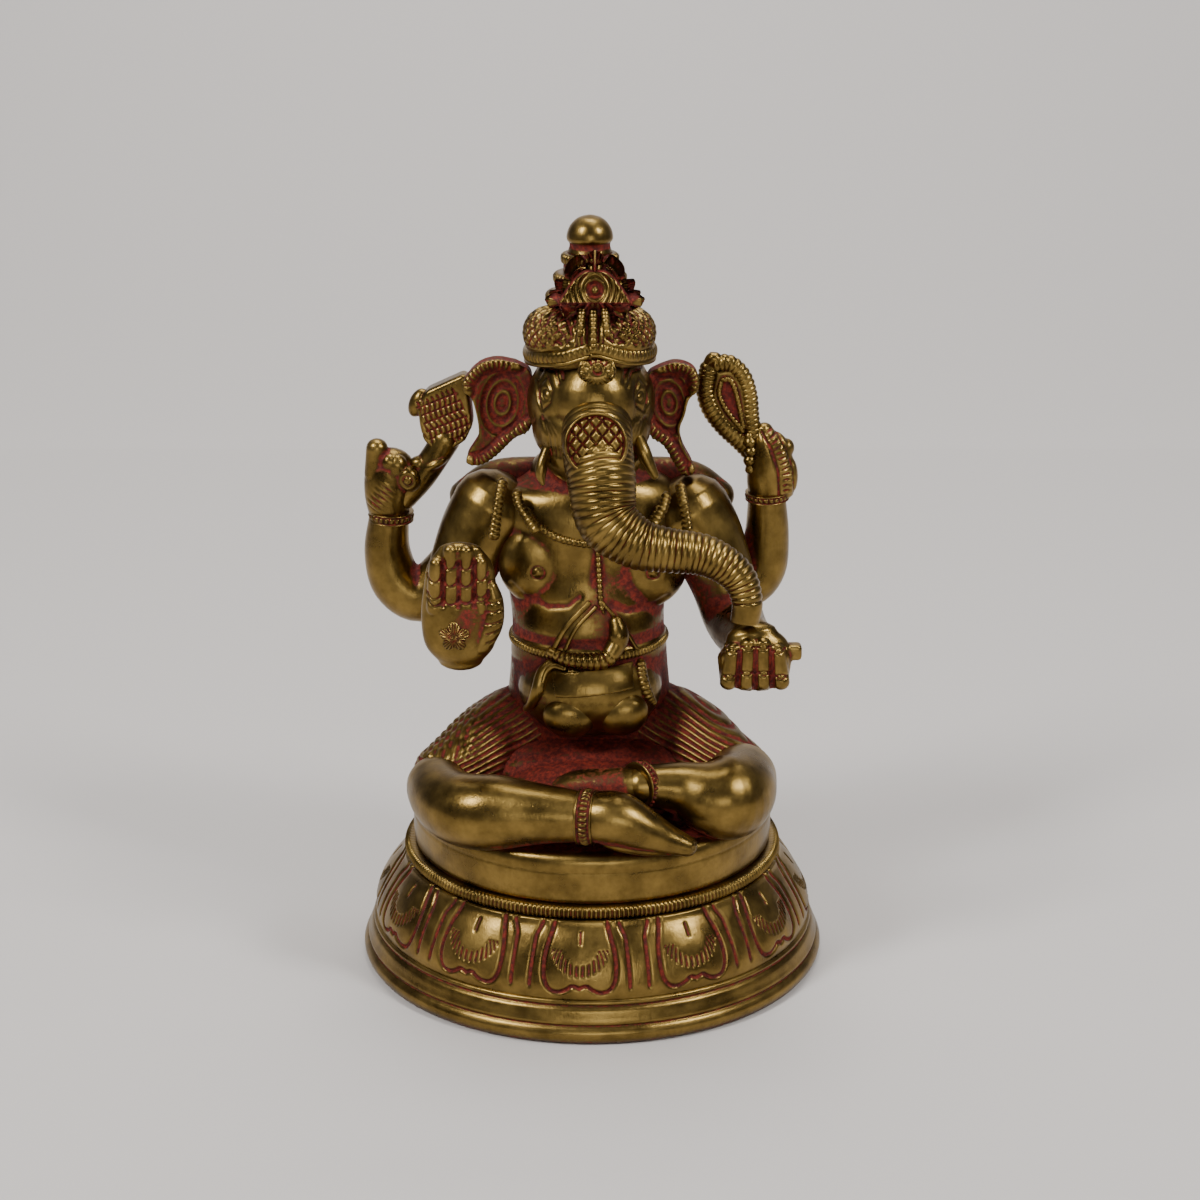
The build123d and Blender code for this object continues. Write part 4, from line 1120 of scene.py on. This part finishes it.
# Rear hands and what they hold
def flatShape(name, outline, y, thickness, edge=0.9):
    # A flat outline in X and Z given a thickness along Y and rounded edges
    bpy.ops.object.select_all(action="DESELECT")
    verts = [(x, y - thickness / 2, z) for x, z in outline] + [(x, y + thickness / 2, z) for x, z in outline]
    n = len(outline)
    faces = [tuple(range(n)), tuple(range(2 * n - 1, n - 1, -1))] + [(i, (i + 1) % n, n + (i + 1) % n, n + i) for i in range(n)]
    obj = fixNormals(meshPiece(name, verts, faces))
    if edge:
        applyModifier(obj, "BEVEL", width=edge, segments=3, limit_method="ANGLE")
    return obj


axeBlade = {
    "outline": [(5.0, 9.0), (4.4, 9.9), (-3.6, 6.2), (-5.3, 3.0), (-5.0, -1.0), (-4.4, -4.2), (-2.2, -6.6), (1.2, -6.6),
                (4.2, -4.4), (5.9, -1.0), (5.5, 4.0)],
    "tilt": 22, "cellWidth": 1.15, "cellHeight": 1.75,
}


def makeAxe():
    high = nodeBox("axe")[1]
    cx, cz = high[0] - 8.0, high[2] - 8.8
    head = flatShape("axeHead", [(cx + x * 1.02, cz + z) for x, z in axeBlade["outline"]], 8.0, 5.4, 1.2)
    knob = ball((cx - 5.4, 8.0, cz + 3.2), (1.9, 1.9, 3.2), (0, 24, 0))
    obj = sculpt("axeHead", [head, knob], 0.22, 4)
    # Its face is chased with a grid of small cells, and a plain rim runs under them
    tilt = radians(axeBlade["tilt"])

    def cells(co, n):
        dx, dz = co[:, 0] - cx, co[:, 2] - cz
        u, v = dx * cos(tilt) + dz * sin(tilt), -dx * sin(tilt) + dz * cos(tilt)
        inside = step01(u, -4.6, -4.0) * (1 - step01(u, 4.6, 5.2)) * step01(v, -5.6, -5.0) * (1 - step01(v, 5.4, 6.0))
        rows = v / axeBlade["cellHeight"]
        across = (u + 0.35 * np.sin(v)) / axeBlade["cellWidth"]
        line = np.maximum(groove(((across % 1) - 0.5), 0.2), groove(((rows % 1) - 0.5), 0.16))
        rim = chased(co, [(-4.4, -3.0), (-2.0, -5.4), (1.4, -5.2), (5.0, -2.2)], 0.3, (cx, 0, cz))
        return -0.4 * line * inside * step01(np.abs(n[:, 1]), 0.3, 0.6) - 0.3 * rim

    carve(obj, cells)
    finishPiece(obj, ["axe"], reach=0.8, gain=0.2, paint=lambda co, n: 0.22 + 0.5 * step01(n[:, 0], 0.3, 0.9))
    grip = sculpt("axeHandle", [
        tube("grip", [(cx - 8.8, 7.8, cz - 17.2), (cx - 5.2, 7.8, cz - 12.6), (cx - 1.6, 7.9, cz - 7.4), (cx, 8.0, cz - 4.6)],
             [2.6, 3.0, 3.0, 3.2], 28, 0.6),
        ball((cx - 5.4, 7.0, cz - 9.6), (2.2, 1.8, 1.7)), ball((cx - 2.2, 7.2, cz - 9.4), (3.4, 3.0, 1.3), (0, -28, 0)),
    ], 0.22, 4)
    finishPiece(grip, ["axe"], reach=1.0, paint=lambda co, n: 0.35 + 0.3 * step01(n[:, 0], 0.0, 0.8))


def makeRearRightHand():
    x, y, z = -42.4, 7.8, nodeBox("rear_right_hand")[1][2] - 0.2
    hand = sculpt("axeHand", [
        tube("heel", [(x - 0.2, y + 1, z - 17.6), (x - 0.4, y, z - 12.6), (x + 0.2, y - 0.2, z - 7.8),
                      (x + 1.4, y - 0.2, z - 4.6)], [(3.9, 3.6), (4.8, 3.8), (5.2, 3.7), (4.0, 3.0)], 40, 0.6),
        capsule((x - 2.8, y - 0.8, z - 7.4), (x - 2.2, y - 1.0, z - 1.6), 2.3),
        ball((x + 2.0, y - 2.2, z - 5.2), (2.2, 2.0, 2.6)), ball((x + 4.4, y - 2.4, z - 7.8), (2.5, 2.3, 2.9), (0, -20, 0)),
        ball((x + 0.4, y - 2.2, z - 4.4), (1.8, 1.8, 2.0)),
    ], 0.22, 4)

    def rings(co, n):
        eye = np.hypot(co[:, 0] - x - 4.2, co[:, 2] - z + 7.8)
        out = -0.4 * groove(eye - 1.1, 0.3) * step01(-n[:, 1], 0, 0.3) - 0.3 * groove(eye, 0.5)
        # knuckle lines on the outer side
        run = (co[:, 0] - x) * 0.6 + (co[:, 2] - z + 12.5) * 0.8
        strip = groove((co[:, 0] - x) * 0.8 - (co[:, 2] - z + 12.0) * 0.6 + 1.4,
                       1.5) * step01(run, -3.8, -3.2) * (1 - step01(run, 2.8, 3.4))
        return out + 0.42 * (np.abs(np.sin(run * pi / 1.15)) - 0.5) * strip

    carve(hand, rings)
    finishPiece(hand, ["rear_right_hand"], reach=0.9, gain=0.2,
                paint=lambda co, n: 0.25 + 0.45 * groove(co[:, 0] - x + 1.0, 1.6) * step01(co[:, 2], z - 9.5, z - 7.0))
    makeBandedRing("axeWristBand", (x + 0.1, 8.6, z - 16.6), (0.05, -0.05, 1), 4.4, 2.2, ["rear_right_bracelet"], beads=24,
                   stand=0.4)


def rope(pitch, depth):
    return lambda run, share, angle: -depth * (1 - np.abs(np.sin(pi * run / pitch + angle / 2))) ** 1.1


nooseLeaf = {
    # A leaf of two rope rounds about a sunk centre, pointed below where the hand grips it
    "rope": [([(-3.6, 7.0), (-0.2, 7.2), (2.6, 4.6), (4.0, 0.4), (4.5, -4.2), (5.2, -8.6)], (1.9, 1.7)),
             ([(-4.3, 6.2), (-4.9, 2.0), (-3.9, -2.0), (-1.2, -5.8), (2.2, -9.0), (4.2, -11.0)], (2.1, 1.8))],
    # the finer cord inside it
    "cord": [[(-1.6, 4.0), (-0.2, 4.2), (0.9, 2.4), (1.9, -1.2), (2.9, -5.8)],
             [(-1.9, 3.4), (-2.2, 1.2), (-1.2, -1.4), (0.6, -4.0), (2.8, -6.6)]],
}


def makeNoose():
    low, high = nodeBox("noose")
    x, z = low[0] + 5.6, high[2] - 11.2
    y = 7.6
    for i, (side, size) in enumerate(nooseLeaf["rope"]):
        outer = tube(f"nooseRope{i + 1}", fromPoint((x, y, z), *[(a, 0, b) for a, b in side]), [size] * len(side), 26, 0.15,
                     rope(1.1, 0.26))
        finishPiece(outer, ["noose"], reach=0.7, gain=0.2, paint=0.12)
    for i, side in enumerate(nooseLeaf["cord"]):
        line = tube(f"nooseCord{i + 1}", fromPoint((x, y - 1.3, z), *[(a, 0, b) for a, b in side]), [0.62] * len(side), 12, 0.14,
                    rope(0.9, 0.16))
        finishPiece(line, ["noose"], reach=0.5, gain=0.16)
    bed = flatShape("nooseBed", [(x - 3.0, z + 5.8), (x + 0.4, z + 6.2), (x + 3.0, z + 2.6), (x + 4.2, z - 6.0),
                                 (x + 2.4, z - 7.4), (x - 1.4, z - 4.6), (x - 3.8, z)], y, 2.6, 0.6)
    bed = sculpt("nooseBed", [bed], 0.25, 4)
    finishPiece(bed, ["noose"], *rubbed, paint=0.8)
    knob = sculpt("nooseKnob", [tube("knob", fromPoint((x, y, z), (-2.6, 0, 7.6), (-3.6, 0, 8.2), (-5.2, 0, 6.0)),
                                     [1.5, 1.5, 0.9], 20, 0.4)], 0.2, 3)
    finishPiece(knob, ["noose"], reach=0.8)
    tail = tube("nooseTail", fromPoint((x, y - 1.2, z), (4.2, 0, -8.2), (4.6, 0, -11.0), (4.4, 0, -14.0), (5.4, 0.4, -17.0)),
                [1.5, 1.5, 1.3, 1.0], 20, 0.12, ribbed(0.5, 2.0, 0.9))
    finishPiece(tail, ["noose"], reach=0.7, gain=0.2)


def makeRearLeftHand():
    x, y, z = 37.3, 7.8, nodeBox("rear_left_hand")[1][2] + 0.8
    hand = sculpt("nooseHand", [
        tube("heel", [(x - 0.6, y + 1, z - 15.6), (x - 0.2, y, z - 11.4), (x + 0.0, y - 0.2, z - 7.0),
                      (x - 1.0, y - 0.2, z - 2.8), (x - 1.6, y, z - 0.4)],
             [(3.7, 3.5), (4.7, 3.8), (4.8, 3.6), (3.4, 3.0), (2.0, 2.0)], 40, 0.6),
        ball((x + 1.6, y - 0.4, z - 4.8), (2.6, 2.8, 4.6), (0, -18, 0)),
        ball((x + 3.4, y - 0.2, z - 10.2), (2.4, 2.8, 4.8), (0, 0, 0)),
        ball((x + 3.2, y, z - 4.0), (1.7, 1.9, 2.0)),
    ], 0.22, 5)

    def strips(co, n):
        path = [(-0.6, 0.0), (1.4, -3.4), (3.0, -8.0), (3.4, -13.4)]
        d, run = pathDistance(co * [1, 0, 1], [(x + a, 0, z + b) for a, b in path])
        front = step01(-n[:, 1], -0.2, 0.3)
        out = 0.4 * groove(d, 1.0) * (np.abs(np.sin(run * pi / 1.2)) - 0.3) * front
        outer, inner = chased(co, path, 0.3, (x + 1.6, 0, z)), chased(co, path, 0.3, (x - 1.7, 0, z))
        return out - 0.3 * outer * front - 0.35 * inner * front

    carve(hand, strips)
    finishPiece(hand, ["rear_left_hand"], reach=0.9, gain=0.2,
                paint=lambda co, n: 0.2 + 0.4 * groove(co[:, 0] - x - 0.2, 1.4) * step01(co[:, 2], z - 9.0, z - 5.0))
    makeBandedRing("nooseWristBand", (x - 0.5, 8.5, z - 14.4), (-0.03, -0.05, 1), 4.3, 1.8, ["rear_left_bracelet"], beads=24,
                   stand=0.35)


makeAxe()
makeRearRightHand()
makeNoose()
makeRearLeftHand()
print("stage: rear hands, axe and noose done")


# Head
headLow, headHigh = nodeBox("head")
hx, hy, hz = (headLow[0] + headHigh[0]) / 2, headHigh[1] - 12.2, headHigh[2] - 12.4


def makeHead():
    head = sculpt("headSkin", [
        ball((hx - 0.3, hy, hz), (13.0, 12.2, 12.4)), ball((hx - 0.2, hy - 2.4, hz - 4.5), (12.1, 11.0, 9.6)),
        ball((hx + 0.2, hy - 5.2, hz - 9.2), (10.4, 7.6, 7.2)),
        ball((hx + 0.4, hy - 4.8, hz + 1.0), (9.4, 8.8, 9.8)),
    ], 0.27, 18)

    def features(co, n):
        out = np.zeros(len(co))
        front = step01(-n[:, 1], -0.25, 0.1)
        middle = (hx, 0, hz)
        for sign, ex, ez in ((-1, -9.3, 3.2), (1, 9.7, 2.6)):
            # long almond eyes turned to the sides, with a brow line over them
            almond = [(ex - 0.3 * sign, ez + 3.4), (ex + 1.3 * sign, ez + 1.4), (ex + 1.5 * sign, ez - 1.0),
                      (ex + 0.7 * sign, ez - 3.2), (ex - 0.9 * sign, ez - 1.4), (ex - 1.3 * sign, ez + 1.0)]
            out -= chased(co, almond, 0.3, middle, closed=True) * 0.3
            eye = np.hypot((co[:, 0] - hx - ex) * 1.1, (co[:, 2] - hz - ez) * 0.8)
            out -= groove(eye - 0.75, 0.25) * 0.25
            lid = [(ex + 1.4 * sign, ez - 1.6), (ex + 1.9 * sign, ez + 2.0), (ex + 0.2 * sign, ez + 4.8),
                   (ex - 1.9 * sign, ez + 4.9), (ex - 2.7 * sign, ez + 2.4)]
            out -= chased(co, lid, 0.32, middle) * 0.26
            brow = [(ex + 1.6 * sign, ez + 6.0), (ex - 1.4 * sign, ez + 6.8), (ex - 3.0 * sign, ez + 5.8),
                    (ex - 3.4 * sign, ez + 3.6)]
            out -= chased(co, brow, 0.42, middle) * 0.34
            for k in range(3):
                low = [(ex + (0.8 - k * 0.8) * sign, ez - 4.4 - k * 0.4), (ex - (0.6 + k * 0.9) * sign, ez - 8.0),
                       (ex - (1.0 + k) * sign, ez - 12.0)]
                out -= chased(co, low, 0.34, middle) * (0.24 - 0.05 * k)
        return out * front

    carve(head, features)

    def headPaint(co, n):
        side = step01(np.abs(co[:, 0] - hx), 10.0, 12.2) * 0.45
        low = (1 - step01(co[:, 2] - hz, -13.5, -8.5)) * 0.6
        back = step01(n[:, 1], 0.0, 0.5) * 0.4
        return side * (1 - step01(co[:, 2] - hz, 6, 9) * 0.4) + low + back

    finishPiece(head, ["head"], paint=headPaint, reach=1.6, gain=0.26)


trunkShape = {
    # from the head's middle: across, back, up; then the radius at each of those points
    "path": [(0.8, -5.0, -1.2), (0.9, -11.5, -3.6), (1.0, -14.5, -6.2), (1.8, -18.5, -11.5), (3.0, -21.2, -18.6),
             (8.5, -22.7, -22.9), (14.4, -23.2, -24.2), (22.2, -23.2, -25.4), (28.1, -23.8, -29.0), (30.3, -24.6, -33.9),
             (30.0, -25.0, -38.4)],
    "sizes": [6.6, 7.0, 7.0, 6.8, 6.2, 5.2, 4.5, 4.1, 3.6, 3.1, 2.85],
    "ringPitch": 1.2, "ringDepth": 0.34, "plateRadius": 6.4, "lozenge": 2.55,
}


def makeTrunk():
    t = trunkShape

    def rings(run, share, angle):
        tooth = 1 - np.abs(np.sin(pi * (run / t["ringPitch"] + 0.1 * np.cos(angle))))
        fade = step01(share, 0.06, 0.14) * (1 - step01(run, run.max() - 4.2, run.max() - 3.6))
        return -t["ringDepth"] * tooth**1.5 * fade * (0.7 + 0.3 * np.cos(angle))

    trunk = tube("trunkRinged", fromPoint((hx, hy, hz), *t["path"]), t["sizes"], 60, 0.13, rings, roundEnds=False)
    finishPiece(trunk, ["trunk"], reach=0.8, gain=0.22, smoothAngle=60,
                paint=lambda co, n: 0.5 * step01(n[:, 1], 0.3, 0.9) + 0.35 * (1 - step01(n[:, 2], -0.9, -0.4)))

    # The round plate on the trunk's root, cut into lozenges, in a raised rim
    centre = np.array((hx + 0.7, hy - 20.6, hz - 3.6))
    axis = Vector((0.02, -1, 0.34)).normalized()
    side = Vector((1, 0, 0))
    up = axis.cross(side).normalized() * -1
    if up.z < 0:
        up = -up
    wide, around, rows = t["plateRadius"], 220, 54
    angle = np.linspace(0, 2 * pi, around, endpoint=False)
    verts = []
    for share in np.linspace(0.01, 1, rows):
        u, v = wide * share * np.sin(angle), wide * share * np.cos(angle)
        dome = 1.5 * (1 - share**2) ** 0.8 - 0.4
        a, b = (u + v * 0.85) / t["lozenge"], (u - v * 0.85) / t["lozenge"]
        cut = np.maximum(1 - np.abs(np.sin(pi * a)), 1 - np.abs(np.sin(pi * b)))
        lift = dome - 0.75 * cut**2.4 * (share < 0.84)
        lift = lift + 0.5 * groove(share - 0.93, 0.055) - 0.35 * groove(share - 0.85, 0.03)
        if share > 0.985:
            lift = np.full_like(angle, -2.0)
        verts.append(centre + np.outer(u, side) + np.outer(v, up) + np.outer(lift * np.ones_like(angle), axis))
    verts.append(centre + np.outer(wide * np.sin(angle), side) + np.outer(wide * np.cos(angle), up) - np.array(axis) * 5.0)
    boss = fixNormals(meshPiece("trunkBoss", np.vstack(verts), lidded(rows + 1, around)))
    finishPiece(boss, ["trunk_boss"], reach=0.7, gain=0.24, smoothAngle=70)


earShapes = {
    # where the ear leaves the head, how far out its dish is, and its outline away from the head, from its top round
    "right": {"sign": -1, "root": -13.2, "dish": 5.0,
              "rim": [(2.4, 7.0), (6.0, 7.6), (9.6, 6.6), (12.6, 3.4), (12.9, 1.4), (11.2, -0.6), (10.4, -3.4), (9.9, -6.6),
                      (10.2, -9.0), (12.4, -12.6), (11.6, -14.4), (9.2, -14.2), (6.4, -12.4), (2.6, -8.8), (-0.8, -6.4),
                      (-1.0, 0.0), (-0.8, 5.0)]},
    "left": {"sign": 1, "root": 12.2, "dish": 3.6,
             "rim": [(2.0, 6.2), (5.0, 7.0), (8.4, 5.8), (9.6, 3.2), (9.2, 1.0), (7.6, -0.8), (6.8, -4.0), (5.8, -7.0),
                     (6.6, -10.6), (8.4, -14.0), (8.6, -16.2), (6.6, -16.6), (4.6, -13.8), (2.6, -10.4), (-0.6, -7.4),
                     (-1.0, 0.0), (-0.8, 4.4)]},
}


def makeEars():
    for side, ear in earShapes.items():
        sign, x0, rim, y = ear["sign"], ear["root"], ear["rim"], 2.6
        line = smoothPath([(x0 + sign * a, 0, hz + b) for a, b in rim] + [(x0 + sign * rim[0][0], 0, hz + rim[0][1])], 4)[:-1]
        fan = flatShape(f"{side}Ear", [(p[0], p[2]) for p in line], y, 4.4, 0.0)
        fan = sculpt(f"{side}Ear", [fan], 0.24, 8)
        top = [(x0 + sign * a, 0, hz + b) for a, b in rim[:5]]
        hem = [(x0 + sign * a, 0, hz + b) for a, b in rim[10:15]]
        ex, ez = x0 + sign * ear["dish"], hz - 1.6

        def relief(co, n):
            front = step01(-n[:, 1], 0.1, 0.6)
            flat = co * [1, 0, 1]
            far = np.hypot((co[:, 0] - ex) * 1.2 + (co[:, 2] - ez) * 0.1 * sign, (co[:, 2] - ez) * 0.8)
            dish = -1.3 * (1 - step01(far, 3.0, 7.6))
            arcs = 0.22 * np.cos(far * 2 * pi / 1.9) * (1 - step01(far, 5.0, 6.2)) * step01(far, 0.5, 1.2)
            d1, run1 = pathDistance(flat, smoothPath(top, 4))
            d2, run2 = pathDistance(flat, smoothPath(hem, 4))
            edge = 0.0
            for d, run, offset in ((d1, run1, 0.9), (d2, run2, 0.9)):
                rise = groove(d - offset, 0.85)
                edge = edge + rise * 0.5 + rise * 0.22 * np.sin(run * 2 * pi / 1.1)
                edge = edge - 0.3 * groove(d - offset - 1.5, 0.35)
            return (dish + arcs + edge) * front

        carve(fan, relief)
        finishPiece(fan, [f"{side}_ear"], *rubbed, reach=0.9, gain=0.26, paint=0.6)


tuskCurves = {
    # from the head's middle, with the radius there; the left one is broken off short and thick
    "right": [((-9.0, -8.0, -8.2), 1.3), ((-10.0, -9.6, -10.6), 1.2), ((-10.3, -10.2, -12.6), 1.1),
              ((-9.9, -10.6, -14.4), 0.5)],
    "left": [((9.2, -8.0, -6.2), 1.4), ((10.0, -9.2, -8.0), 1.55), ((11.0, -9.8, -10.2), 1.35), ((12.4, -10.4, -12.8), 0.9)],
}


def makeTusks():
    for side, places in tuskCurves.items():
        tusk = tube("tusk", fromPoint((hx, hy, hz), *[place for place, _ in places]), [size for _, size in places], 20, 0.3)
        finishPiece(sculpt(f"{side}Tusk", [tusk], 0.16, 3), [f"{side}_tusk"], reach=0.8)


def makeJewel():
    # A flat lobed jewel: a ringed dot between two fans of small beads
    x, y, z = hx + 0.9, nodeBox("brow_jewel")[0][1] + 1.0, nodeMiddle("brow_jewel")[2] + 0.3
    jewel = sculpt("browJewel", [ball((x, y + 0.9, z + 0.2), (3.9, 1.1, 2.7), (-24, 0, 0)),
                                 ball((x - 2.4, y + 0.6, z + 0.9), (1.3, 0.7, 2.1), (-24, 0, 0)),
                                 ball((x + 0.1, y + 0.2, z + 0.9), (1.4, 0.8, 1.4)),
                                 ball((x + 2.6, y + 0.6, z + 0.7), (1.2, 0.7, 2.1), (-24, 0, 0))], 0.18, 3)

    def detail(co, n):
        dot = np.hypot(co[:, 0] - x - 0.1, co[:, 2] - z - 1.0)
        edge = np.hypot((co[:, 0] - x) / 1.3, co[:, 2] - z - 0.3)
        beads = 0.16 * np.sin(np.arctan2(co[:, 0] - x, co[:, 2] - z) * 15) * groove(edge - 2.3, 0.5)
        return (-0.35 * groove(dot - 1.0, 0.28) + beads - 0.25 * groove(edge - 2.9, 0.25)) * step01(-n[:, 1], 0, 0.3)

    carve(jewel, detail)
    finishPiece(jewel, ["brow_jewel"], reach=0.7, gain=0.2)


makeHead()
makeTrunk()
makeEars()
makeTusks()
makeJewel()
print("stage: head, trunk and ears done")


# Crown
crownLow, crownHigh = nodeBox("crown_dome")
crx, cry, crz = (crownLow[0] + crownHigh[0]) / 2, (crownLow[1] + crownHigh[1]) / 2, nodeMiddle("crown_dome")[2] - 2.8


def diadem(x):
    # The height of the brow band at each place across: it parts from the middle and falls to the sides
    x = np.abs(x - 0.6)
    return crz + 2.8 - 0.36 * np.minimum(x, 6.0) - 0.2 * np.maximum(x - 6.0, 0)


def makeDome():
    dome = sculpt("crownDome", [
        ball((crx, cry, crz + 0.4), (12.6, 12.4, 9.2)),
        ball((crx - 7.4, cry - 3.2, crz + 2.4), (6.0, 7.6, 5.6), (0, 0, 18)),
        ball((crx + 7.2, cry - 3.2, crz + 2.4), (6.0, 7.6, 5.6), (0, 0, -18)),
        ball((crx, cry + 3.0, crz + 0.8), (11.6, 9.4, 8.6)), ball((crx, cry + 1, crz - 1.2), (13.0, 12.0, 4.6)),
    ], 0.26, 7)

    def hatch(co, n):
        dx, dy, dz = co[:, 0] - crx, co[:, 1] - cry, co[:, 2] - crz
        turn = np.degrees(np.arctan2(dx, -dy))
        away = np.abs(turn)
        lean = dz * 0.75
        a = (away * 0.2 + lean) / 1.75
        b = (away * 0.2 - lean) / 1.75
        cuts = np.maximum(groove((a % 1) - 0.5, 0.17), groove((b % 1) - 0.5, 0.17))
        where = step01(away, 14, 18) * step01(co[:, 2], diadem(co[:, 0]) + 0.4, diadem(co[:, 0]) + 1.2)
        # fine upright lines between the two rounds
        middle = (1 - step01(away, 12, 16)) * step01(dz, -1, 1)
        uprights = groove(((dx / 1.05) % 1) - 0.5, 0.2)
        rolls = 0.0
        for sx in (-6.4, 6.0):
            d = np.hypot(dx - sx, (dz - 4.6))
            rolls = rolls + groove(d - 2.6, 0.34) * 0.4 * (away < 60)
        return -0.46 * cuts * where * (n[:, 2] > -0.4) - 0.34 * uprights * middle - rolls * where

    carve(dome, hatch)
    finishPiece(dome, ["crown_dome", "left_crown_lobe", "right_crown_lobe"], reach=0.9, gain=0.22,
                paint=lambda co, n: 0.3 * step01(n[:, 1], 0.0, 0.5) + 0.25 * step01(np.abs(co[:, 0] - crx), 9, 13))


def makeDiadem():
    # Two bands that part over the brow, each a row of teeth over a plain edge
    for side, sign in (("right", -1), ("left", 1)):
        path = []
        for a in np.linspace(2, 172, 26):
            t = radians(a)
            x = crx + sign * 12.9 * sin(t)
            path.append((x, cry - 12.6 * cos(t), float(diadem(np.array([x]))[0]) - 1.2))

        def teeth(run, share, angle):
            row = np.clip(np.cos(angle - 0.5), 0, 1) ** 2
            return -0.34 * ribGap(run, 1.1, 1.2) * row

        band = tube(f"{side}Diadem", path, [(1.25, 0.7)] * len(path), 26, 0.16, teeth, side=(0, -1, 0.2))
        finishPiece(band, ["crown_bands"], reach=0.7, gain=0.2)
        edge = tube(f"{side}DiademEdge", [(x, y - 0.1, z - 1.45) for x, y, z in path], [0.45] * len(path), 12, 0.3)
        finishPiece(edge, ["crown_bands"], reach=0.7)


def makeStrands():
    for i in (-1, 0, 1):
        x = crx + 0.7 + i * 2.15
        lowZ = crz + (2.2 if i == 0 else 4.4)
        path = []
        for t in np.linspace(0, 1, 6):
            z = crz + 9.0 + (lowZ - crz - 9.0) * t
            y = cry - 6.6 - 6.6 * sin(min(t * 1.25, 1) * pi / 2) * (1.0 if i == 0 else 0.97)
            path.append((x + i * 0.5 * t, y, z))

        obj = tube(f"crownStrand{i + 2}", path, [0.85] * 6, 16, 0.12, ribbed(0.3, 1.1, 0.9))
        finishPiece(obj, ["crown_strands"], reach=0.6, gain=0.2)


def makeTiers():
    for name in ("low", "middle", "high"):
        low, high = nodeBox(f"crown_tier_{name}")
        x, y = (low[0] + high[0]) / 2, (low[1] + high[1]) / 2
        bottom, top = low[2], high[2]
        wide = (high[0] - low[0]) / 2
        wall = wide - 0.45
        shape = [(0.2, bottom), (wall - 0.2, bottom), (wall, bottom + 0.3), (wall - 0.05, top - 2.3), (wide - 0.1, top - 1.9),
                 (wide + 0.05, top - 1.3), (wide, top - 0.6), (wide - 0.5, top - 0.1), (wide - 1.3, top), (0.2, top)]
        around = 480
        teeth = int(round(2 * pi * wide / 1.15))
        angle = np.linspace(0, 2 * pi, around, endpoint=False)
        verts = []
        for r, z in [shape[0]] + profileLine(shape[1:-1], 0.14) + [shape[-1]]:
            lip = step01(z, top - 2.1, top - 1.6) * (r > wall - 0.9)
            radius = r - 0.32 * (1 - np.abs(np.sin(angle * teeth / 2))) ** 1.3 * lip
            verts.append(np.stack([x + radius * np.sin(angle), y - radius * np.cos(angle), np.full_like(angle, z)], axis=1))
        tier = fixNormals(meshPiece(f"crownTier{name.title()}", np.vstack(verts), lidded(len(verts), around)))

        def wallPaint(co, n):
            return 0.15 + 0.75 * groove(co[:, 2] - top + 2.3, 0.35) + 0.4 * (1 - step01(co[:, 2], top - 3.6, top - 2.6))

        finishPiece(tier, [f"crown_tier_{name}"], reach=0.6, gain=0.2, smoothAngle=60, paint=wallPaint)


def makeFinial():
    low, high = nodeBox("crown_finial")
    x, y, top, bottom = (low[0] + high[0]) / 2, (low[1] + high[1]) / 2, high[2], low[2]
    shape = [(0.2, bottom), (4.5, bottom), (4.3, bottom + 0.5), (4.05, bottom + 1.2), (4.1, bottom + 1.9), (4.55, bottom + 2.5),
             (4.62, bottom + 3.2), (4.35, bottom + 4.4), (3.7, bottom + 5.6), (2.5, bottom + 6.7), (1.2, top - 0.2), (0.2, top)]
    angle = np.linspace(0, 2 * pi, 120, endpoint=False)
    verts = []
    for r, z in [shape[0]] + profileLine(shape[1:], 0.25):
        verts.append(np.stack([x + r * np.sin(angle), y - r * np.cos(angle), np.full_like(angle, z)], axis=1))
    finial = fixNormals(meshPiece("crownFinial", np.vstack(verts), lidded(len(verts), 120)))
    finishPiece(finial, ["crown_finial"], reach=1.2, gain=0.22,
                paint=lambda co, n: 1 - step01(co[:, 2], bottom + 1.6, bottom + 2.3))


def makeRosette():
    # A gable that leans back against the tiers: a ringed dot low in the middle, ribbed arcs rising at each side
    low, high = nodeBox("crown_rosette")
    x, bottom, top = crx + 1.0, 144.2, high[2] + 0.2
    front = low[1] - 0.4

    def lay(u, v, lift=0.0):
        return (x + u, front + 2.0 + v * 0.36 - lift, bottom + v)

    height, columns, rows = top - bottom, 121, 100
    verts = []
    for v in np.linspace(0, height, rows):
        share = v / height
        edge = 6.9 * (1 - share) ** 0.9 + 3.2 * share**1.4 * (1 - share) ** 0.25 + 0.4
        u = np.linspace(-edge, edge, columns)
        arc = np.hypot(u, v - 2.3)
        lift = 0.8 + 0.42 * (np.abs(np.sin(pi * (arc * 0.9 + np.abs(u) * 0.2) / 1.15)) - 0.5)
        lift = lift + 0.3 * groove(np.abs(u) - edge + 0.5, 0.35)
        lift = np.where(arc < 2.0, 0.7 - 0.75 * groove(arc - 1.2, 0.42) + 0.35 * groove(arc, 0.6), lift)
        lift[0] = lift[-1] = -2.0
        verts += [lay(a, v, b) for a, b in zip(u, lift)]
    gable = meshPiece("crownRosette", verts, gridFaces(rows, columns, wrapColumns=False))
    applyModifier(gable, "SOLIDIFY", thickness=4.2, offset=-1.0)
    finishPiece(fixNormals(gable), ["crown_rosette"], reach=0.7, gain=0.2,
                paint=lambda co, n: 0.15 + 0.6 * groove(np.hypot(co[:, 0] - x, co[:, 2] - bottom - 2.3) - 1.2, 0.5))


makeDome()
makeDiadem()
makeStrands()
makeTiers()
makeFinial()
makeRosette()
print("stage: crown done")
